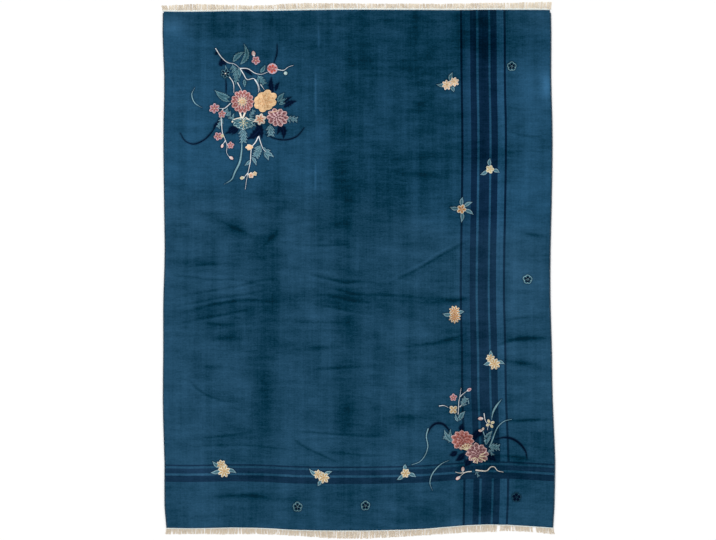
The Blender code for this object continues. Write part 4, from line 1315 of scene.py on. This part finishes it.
CORD_RADIUS = 0.0045
CORD_STAND_OFF = 0.0048
CORD_SHORT_OF_END = 0.0015
CORD_STEP = 0.02
YARN_RADIUS = 0.0019
WRAP_PITCH = 0.0036
WRAP_LEAN = math.radians(14)
WRAP_SIDES = 12
YARN_SIDES = 4
CORD_BLUE, CORD_WORN = dye(40, 76, 98), dye(92, 116, 130)


def geometry_tree(name, sizes):
    """An empty Geometry Nodes tree that takes a mesh and named sizes, and what it is given."""
    tree = bpy.data.node_groups.new(name, "GeometryNodeTree")
    tree.interface.new_socket("Geometry", in_out="INPUT", socket_type="NodeSocketGeometry")
    tree.interface.new_socket("Geometry", in_out="OUTPUT", socket_type="NodeSocketGeometry")
    for size in sizes:
        tree.interface.new_socket(size, in_out="INPUT", socket_type="NodeSocketFloat")
    return tree, tree.nodes.new("NodeGroupInput").outputs


def finish_tree(tree, made, material):
    """Ends a tree in plain geometry of one finish."""
    real = wire(tree, "GeometryNodeRealizeInstances", {0: made})
    dressed = wire(tree, "GeometryNodeSetMaterial", {"Geometry": real.outputs[0], "Material": material})
    wire(tree, "NodeGroupOutput", {0: dressed.outputs[0]})


def grown(name, start, tree, sizes):
    """Runs a tree on a starting mesh and gives the result as one plain piece."""
    piece = bpy.data.objects.new(name, start)
    bpy.context.scene.collection.objects.link(piece)
    grower = piece.modifiers.new(tree.name, "NODES")
    sockets = {item.name: item.identifier for item in tree.interface.items_tree if item.in_out == "INPUT"}
    grower.node_group = tree
    for size, value in sizes.items():
        grower[sockets[size]] = value
    graph = bpy.context.evaluated_depsgraph_get()
    mesh = bpy.data.meshes.new_from_object(piece.evaluated_get(graph))
    piece.modifiers.remove(grower)
    piece.data = mesh
    mesh.shade_smooth()
    return piece


def circle(tree, sides, radius):
    """A round section with a few sides."""
    return wire(tree, "GeometryNodeCurvePrimitiveCircle", {"Resolution": sides, "Radius": radius}).outputs[0]


def wrapped_wool():
    """The side cords' yarn: the same blue, worn paler on the turns that rub."""
    material = bpy.data.materials.new("wrapped_wool")
    material.use_nodes = True
    tree = material.node_tree
    place = tree.nodes.new("ShaderNodeTexCoord").outputs["Object"]
    patches = wire(tree, "ShaderNodeTexNoise", {"Vector": place, "Scale": 60.0, "Detail": 3})
    worn = wire(tree, "ShaderNodeMapRange", {0: patches.outputs[0], 1: 0.5, 2: 0.75})
    colour = blend(tree, worn.outputs[0], (*CORD_BLUE, 1), (*CORD_WORN, 1))
    fibres = wire(tree, "ShaderNodeTexNoise", {"Vector": place, "Scale": 1400.0})
    bump = wire(tree, "ShaderNodeBump", {"Height": fibres.outputs[0], "Distance": 0.0004})
    shader = tree.nodes["Principled BSDF"]
    shader.inputs["Roughness"].default_value = 0.9
    shader.inputs["Sheen Weight"].default_value = 0.2
    tree.links.new(colour, shader.inputs["Base Color"])
    tree.links.new(bump.outputs[0], shader.inputs["Normal"])
    return material


def wrapping_tree(material):
    """Lays leaning turns of yarn along a path."""
    tree, given = geometry_tree("wrapped_yarn", ("Cord radius", "Yarn radius", "Pitch", "Lean"))
    path = wire(tree, "GeometryNodeMeshToCurve", {0: given["Geometry"]})
    spaced = {"Curve": path.outputs[0], "Length": given["Pitch"]}
    turns = wire(tree, "GeometryNodeCurveToPoints", spaced, mode="LENGTH").outputs
    middle = reckon(tree, "SUBTRACT", given["Cord radius"], given["Yarn radius"])
    hoop = circle(tree, WRAP_SIDES, middle)
    yarn = circle(tree, YARN_SIDES, given["Yarn radius"])
    turn = wire(tree, "GeometryNodeCurveToMesh", {0: hoop, 1: yarn}).outputs[0]
    tilt = wire(tree, "ShaderNodeCombineXYZ", {0: given["Lean"]}).outputs[0]
    facing = {"Points": turns[0], "Instance": turn, "Rotation": turns["Rotation"]}
    placed = wire(tree, "GeometryNodeInstanceOnPoints", facing).outputs[0]
    leant = wire(tree, "GeometryNodeRotateInstances", {"Instances": placed, "Rotation": tilt}).outputs[0]
    finish_tree(tree, leant, material)
    return tree


wrapping = wrapping_tree(wrapped_wool())
for name, node, side, run in (
    ("wrapped_cord_left", "side_cord_left", -1, left_side),
    ("wrapped_cord_right", "side_cord_right", 1, right_side),
):
    ups = np.arange(run[0, 1] + CORD_SHORT_OF_END, run[-1, 1] - CORD_SHORT_OF_END, CORD_STEP)
    xs = np.interp(ups, run[:, 1], run[:, 0]) + side * CORD_STAND_OFF
    route = bpy.data.meshes.new(name)
    steps = [(step, step + 1) for step in range(len(ups) - 1)]
    route.from_pydata(np.column_stack([xs, ups, np.full(len(ups), CORD_RADIUS)]).tolist(), steps, [])
    sizes = {"Cord radius": CORD_RADIUS, "Yarn radius": YARN_RADIUS, "Pitch": WRAP_PITCH, "Lean": WRAP_LEAN}
    cord = grown(name, route, wrapping, sizes)
    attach(cord, "root")
    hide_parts(node)

# The end webs. Past the last row of knots, a few rows of cotton weft are packed down over the warps in a
# narrow plain weave, which holds the knots in.

WEB_WIDTHS = dict(near=0.008, far=0.013)
WEB_HEIGHT = 0.005
WEB_SEAM = 0.0006
WEB_ROWS = 4
WEB_STEP = 0.01
ROW_CROWN = 0.0009
OUTER_ROW_DROP = 0.0008
CORD_OVERHANG = 0.0093
WEB_COTTON, WEB_SHADE = dye(246, 252, 250), dye(228, 238, 236)


def end_web(name, node, end, run, width):
    """Packed rows of weft side by side along one end. end is -1 near and 1 far."""
    xs = np.arange(run[0, 0] - CORD_OVERHANG, run[-1, 0] + CORD_OVERHANG, WEB_STEP)
    seam = np.interp(xs, run[:, 0], run[:, 1]) + end * WEB_SEAM
    row = width / WEB_ROWS
    across, heights = [0.0], [0.0]
    for number in range(WEB_ROWS):
        crown = WEB_HEIGHT - (OUTER_ROW_DROP if number in (0, WEB_ROWS - 1) else 0)
        across += [(number + 0.1) * row, (number + 0.5) * row, (number + 0.9) * row]
        heights += [crown - ROW_CROWN, crown, crown - ROW_CROWN]
    across.append(width)
    heights.append(0.0)
    sides = len(across)
    places = [(x, y + end * out, z) for x, y in zip(xs, seam) for out, z in zip(across, heights)]
    faces = []
    for step in range(len(xs) - 1):
        for side in range(sides):
            here, beside = step * sides + side, step * sides + (side + 1) % sides
            faces.append((here, beside, beside + sides, here + sides))
    faces += [tuple(range(sides)), tuple(range(len(places) - sides, len(places)))]
    mesh = bpy.data.meshes.new(name)
    mesh.from_pydata(places, [], faces)
    shape = bmesh.new()
    shape.from_mesh(mesh)
    bmesh.ops.recalc_face_normals(shape, faces=shape.faces)
    shape.to_mesh(mesh)
    shape.free()
    mesh.shade_smooth()
    mesh.materials.append(packed_cotton)
    piece = bpy.data.objects.new(name, mesh)
    bpy.context.scene.collection.objects.link(piece)
    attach(piece, "root")
    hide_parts(node)
    return piece


def packed_weave():
    """White cotton weft over the warps, a little soiled."""
    material = bpy.data.materials.new("packed_cotton")
    material.use_nodes = True
    tree = material.node_tree
    place = tree.nodes.new("ShaderNodeTexCoord").outputs["Object"]
    soil = wire(tree, "ShaderNodeTexNoise", {"Vector": place, "Scale": 30.0, "Detail": 4})
    colour = blend(tree, soil.outputs[0], (*WEB_COTTON, 1), (*WEB_SHADE, 1))
    warps = {"Vector": place, "Scale": 95.0, "Distortion": 0.6}
    ribs = wire(tree, "ShaderNodeTexWave", warps, bands_direction="X")
    bump = wire(tree, "ShaderNodeBump", {"Height": ribs.outputs["Fac"], "Distance": 0.0006})
    shader = tree.nodes["Principled BSDF"]
    shader.inputs["Roughness"].default_value = 0.85
    tree.links.new(colour, shader.inputs["Base Color"])
    tree.links.new(bump.outputs[0], shader.inputs["Normal"])
    return material


packed_cotton = packed_weave()
webs = [
    end_web("web_near_end", "fringe_near_end", -1, near_side, WEB_WIDTHS["near"]),
    end_web("web_far_end", "fringe_far_end", 1, far_side, WEB_WIDTHS["far"]),
]

# The fringe. The cotton warps hang out of the webs, cut to no even length, and lie on the floor in small
# locks of loosely twisted strands.

STRANDS = 14
STRAND_POINTS = 7
STRAND_SIDES = 4
STRAND_RADIUS = 0.0009
LOCK_WIDTH = 0.0220
TIP_SPREAD = 0.0045
CURL = 0.0030
LAYER = 0.0030
SHORTEST = 0.90
NARROWING = -0.16
WANDER = 1.6
CURL_GROWTH = 4.0
SETTLING = -0.75
WEB_RIM = 0.0022
TIP_HEIGHT = 0.0022
BEND_HEIGHT = 0.004
LEVEL_MARGIN = 0.0003
ROOT_LIFT = 0.0012
BEND_LIFT = 0.0006
FRINGE_LIGHT, FRINGE_DARK, FRINGE_SOIL = dye(250, 240, 222), dye(236, 223, 202), dye(206, 190, 168)


def strand_cotton():
    """Undyed cotton, each strand a little lighter or darker, soiled in patches and more at the near end."""
    material = bpy.data.materials.new("strand_cotton")
    material.use_nodes = True
    tree = material.node_tree
    place = tree.nodes.new("ShaderNodeTexCoord").outputs["Object"]
    strand = wire(tree, "ShaderNodeAttribute", attribute_name="strand").outputs["Fac"]
    patches = wire(tree, "ShaderNodeTexNoise", {"Vector": place, "Scale": 14.0, "Detail": 4})
    soiled = wire(tree, "ShaderNodeMapRange", {0: patches.outputs[0], 1: 0.45, 2: 0.8})
    up = wire(tree, "ShaderNodeSeparateXYZ", {0: place}).outputs[1]
    trodden = wire(tree, "ShaderNodeMapRange", {0: up, 1: 1.0, 2: -1.0, 4: 0.55})
    soiling = reckon(tree, "MAXIMUM", soiled.outputs[0], trodden.outputs[0])
    colour = blend(tree, strand, (*FRINGE_LIGHT, 1), (*FRINGE_DARK, 1))
    colour = blend(tree, soiling, colour, (*FRINGE_SOIL, 1))
    fibres = wire(tree, "ShaderNodeTexNoise", {"Vector": place, "Scale": 1800.0})
    bump = wire(tree, "ShaderNodeBump", {"Height": fibres.outputs[0], "Distance": 0.0004})
    shader = tree.nodes["Principled BSDF"]
    shader.inputs["Roughness"].default_value = 0.85
    shader.inputs["Sheen Weight"].default_value = 0.1
    tree.links.new(colour, shader.inputs["Base Color"])
    tree.links.new(bump.outputs[0], shader.inputs["Normal"])
    return material


def of_strand(tree, low, high, seed):
    """Three random amounts for each strand."""
    limits = {"Min": low, "Max": high, "Seed": seed}
    chance = {0: wire(tree, "FunctionNodeRandomValue", limits, data_type="FLOAT_VECTOR").outputs[0]}
    held = wire(tree, "GeometryNodeFieldOnDomain", chance, data_type="FLOAT_VECTOR", domain="CURVE")
    return wire(tree, "ShaderNodeSeparateXYZ", {0: held.outputs[0]}).outputs


def strand_tree(material):
    """Parts every lock into strands that wander, end where they will, and lie over each other."""
    sizes = ("Lock width", "Tip spread", "Curl", "Layer", "Strand radius", "Shortest")
    tree, given = geometry_tree("fringe_strands", sizes)
    locks = {0: wire(tree, "GeometryNodeMeshToCurve", {0: given["Geometry"]}).outputs[0], "Amount": STRANDS}
    parted = wire(tree, "GeometryNodeDuplicateElements", locks, domain="SPLINE").outputs[0]
    smooth = wire(tree, "GeometryNodeResampleCurve", {"Curve": parted, "Count": STRAND_POINTS}).outputs[0]
    side, layer, lean = of_strand(tree, (-1, 0, -1), (1, 1, 1), 4)
    length, wander, tint = of_strand(tree, (0, 0, 0), (1, 50, 1), 9)
    along = tree.nodes.new("GeometryNodeSplineParameter").outputs["Factor"]

    travelled = reckon(tree, "MULTIPLY", along, WANDER)
    start = wire(tree, "ShaderNodeCombineXYZ", {0: wander, 1: travelled, 2: side})
    noise = wire(tree, "ShaderNodeTexNoise", {"Vector": start.outputs[0], "Scale": 1.0, "Detail": 1})
    curl = reckon(tree, "MULTIPLY", reckon(tree, "SUBTRACT", noise.outputs[0], 0.5), given["Curl"])
    curl = reckon(tree, "MULTIPLY", reckon(tree, "MULTIPLY", curl, along), CURL_GROWTH)
    narrowing = reckon(tree, "MULTIPLY_ADD", along, NARROWING, 0.5)
    apart = reckon(tree, "MULTIPLY", reckon(tree, "MULTIPLY", side, given["Lock width"]), narrowing)
    spread = reckon(tree, "MULTIPLY", lean, given["Tip spread"])
    leaning = reckon(tree, "MULTIPLY", reckon(tree, "MULTIPLY", along, along), spread)
    sideways = reckon(tree, "ADD", reckon(tree, "ADD", apart, leaning), curl)
    settling = reckon(tree, "MULTIPLY_ADD", along, SETTLING, 1.0)
    rise = reckon(tree, "MULTIPLY", reckon(tree, "MULTIPLY", layer, given["Layer"]), settling)
    rise = reckon(tree, "ADD", rise, given["Strand radius"])
    offset = wire(tree, "ShaderNodeCombineXYZ", {0: sideways, 2: rise}).outputs[0]
    moved = wire(tree, "GeometryNodeSetPosition", {"Geometry": smooth, "Offset": offset}).outputs[0]

    spare = reckon(tree, "SUBTRACT", 1.0, given["Shortest"])
    until = reckon(tree, "MULTIPLY_ADD", length, spare, given["Shortest"])
    cut = wire(tree, "GeometryNodeTrimCurve", {"Curve": moved, 3: until}, mode="FACTOR").outputs[0]
    shade = {"Geometry": cut, "Name": "strand", "Value": tint}
    named = wire(tree, "GeometryNodeStoreNamedAttribute", shade, data_type="FLOAT", domain="CURVE").outputs[0]
    section = circle(tree, STRAND_SIDES, given["Strand radius"])
    strands = wire(tree, "GeometryNodeCurveToMesh", {0: named, 1: section, "Fill Caps": True})
    finish_tree(tree, strands.outputs[0], material)
    return tree


def lock_paths(node, end):
    """The middle of every lock of the solid fringe, from the web to its tip, as loose edges."""
    places = np.array([vertex.co[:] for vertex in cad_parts[node].data.vertices])
    lines = []
    for height in (BEND_HEIGHT, TIP_HEIGHT):
        level = np.unique(places[abs(places[:, 2] - height) < LEVEL_MARGIN].round(5), axis=0)
        level = level[np.argsort(level[:, 0])]
        lines.append((level[0::2] + level[1::2]) / 2)
    bends, tips = lines
    root_ys = 2 * bends[:, 1] - tips[:, 1] - end * WEB_RIM
    roots = np.column_stack([(4 * bends[:, 0] - tips[:, 0]) / 3, root_ys])
    mesh = bpy.data.meshes.new("lock_paths")
    rows = []
    for root, bend, tip in zip(roots, bends, tips):
        rows += [(*root, ROOT_LIFT), (*bend[:2], BEND_LIFT), (*tip[:2], 0.0)]
    edges = [(3 * lock + step, 3 * lock + step + 1) for lock in range(len(roots)) for step in (0, 1)]
    mesh.from_pydata(rows, edges, [])
    return mesh


strand_grower = strand_tree(strand_cotton())
strand_sizes = {
    "Lock width": LOCK_WIDTH, "Tip spread": TIP_SPREAD, "Curl": CURL, "Layer": LAYER,
    "Strand radius": STRAND_RADIUS, "Shortest": SHORTEST,
}
for name, node, end in (
    ("warp_fringe_near", "fringe_near_end", -1),
    ("warp_fringe_far", "fringe_far_end", 1),
):
    fringe = grown(name, lock_paths(node, end), strand_grower, strand_sizes)
    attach(fringe, "root")
    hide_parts(node)

# The studio. A plain white floor, soft light from all round and a broad lamp high on the left, with the
# camera straight above the rug.

FLOOR_DROP = -0.0003
FLOOR_REACH = 30
FLOOR_WHITE = (0.93, 0.93, 0.93, 1)
VIEW_WIDTH = 5.062
VIEW_HEIGHT = 9.0
SENSOR = 36
AIM = (-0.0037, 0.0017)
SKY = 0.78
LAMP = 1.35
LAMP_TURN = (math.radians(-32), math.radians(-30), 0)
LAMP_ANGLE = math.radians(30)

floor_mesh = bpy.data.meshes.new("studio_floor")
plan = ((-1, -1), (1, -1), (1, 1), (-1, 1))
floor_corners = [(x * FLOOR_REACH, y * FLOOR_REACH, FLOOR_DROP) for x, y in plan]
floor_mesh.from_pydata(floor_corners, [], [(0, 1, 2, 3)])
floor_paint = bpy.data.materials.new("studio_floor")
floor_paint.use_nodes = True
paint = floor_paint.node_tree.nodes["Principled BSDF"]
paint.inputs["Base Color"].default_value = FLOOR_WHITE
paint.inputs["Roughness"].default_value = 0.8
floor_mesh.materials.append(floor_paint)
floor = bpy.data.objects.new("studio_floor", floor_mesh)
bpy.context.scene.collection.objects.link(floor)

world = bpy.data.worlds.new("studio")
world.use_nodes = True
backdrop = world.node_tree.nodes["Background"]
backdrop.inputs["Color"].default_value = (1, 1, 1, 1)
backdrop.inputs["Strength"].default_value = SKY
bpy.context.scene.world = world
lamp = bpy.data.objects.new("broad_lamp", bpy.data.lights.new("broad_lamp", "SUN"))
lamp.data.energy = LAMP
lamp.data.angle = LAMP_ANGLE
lamp.rotation_euler = LAMP_TURN
bpy.context.scene.collection.objects.link(lamp)
bpy.context.scene.view_settings.view_transform = "Standard"

camera = bpy.data.objects.new("camera", bpy.data.cameras.new("camera"))
camera.data.sensor_width = SENSOR
camera.data.lens = SENSOR * VIEW_HEIGHT / VIEW_WIDTH
camera.location = (*AIM, PILE_HEIGHT + VIEW_HEIGHT)
bpy.context.scene.collection.objects.link(camera)
bpy.context.scene.camera = camera
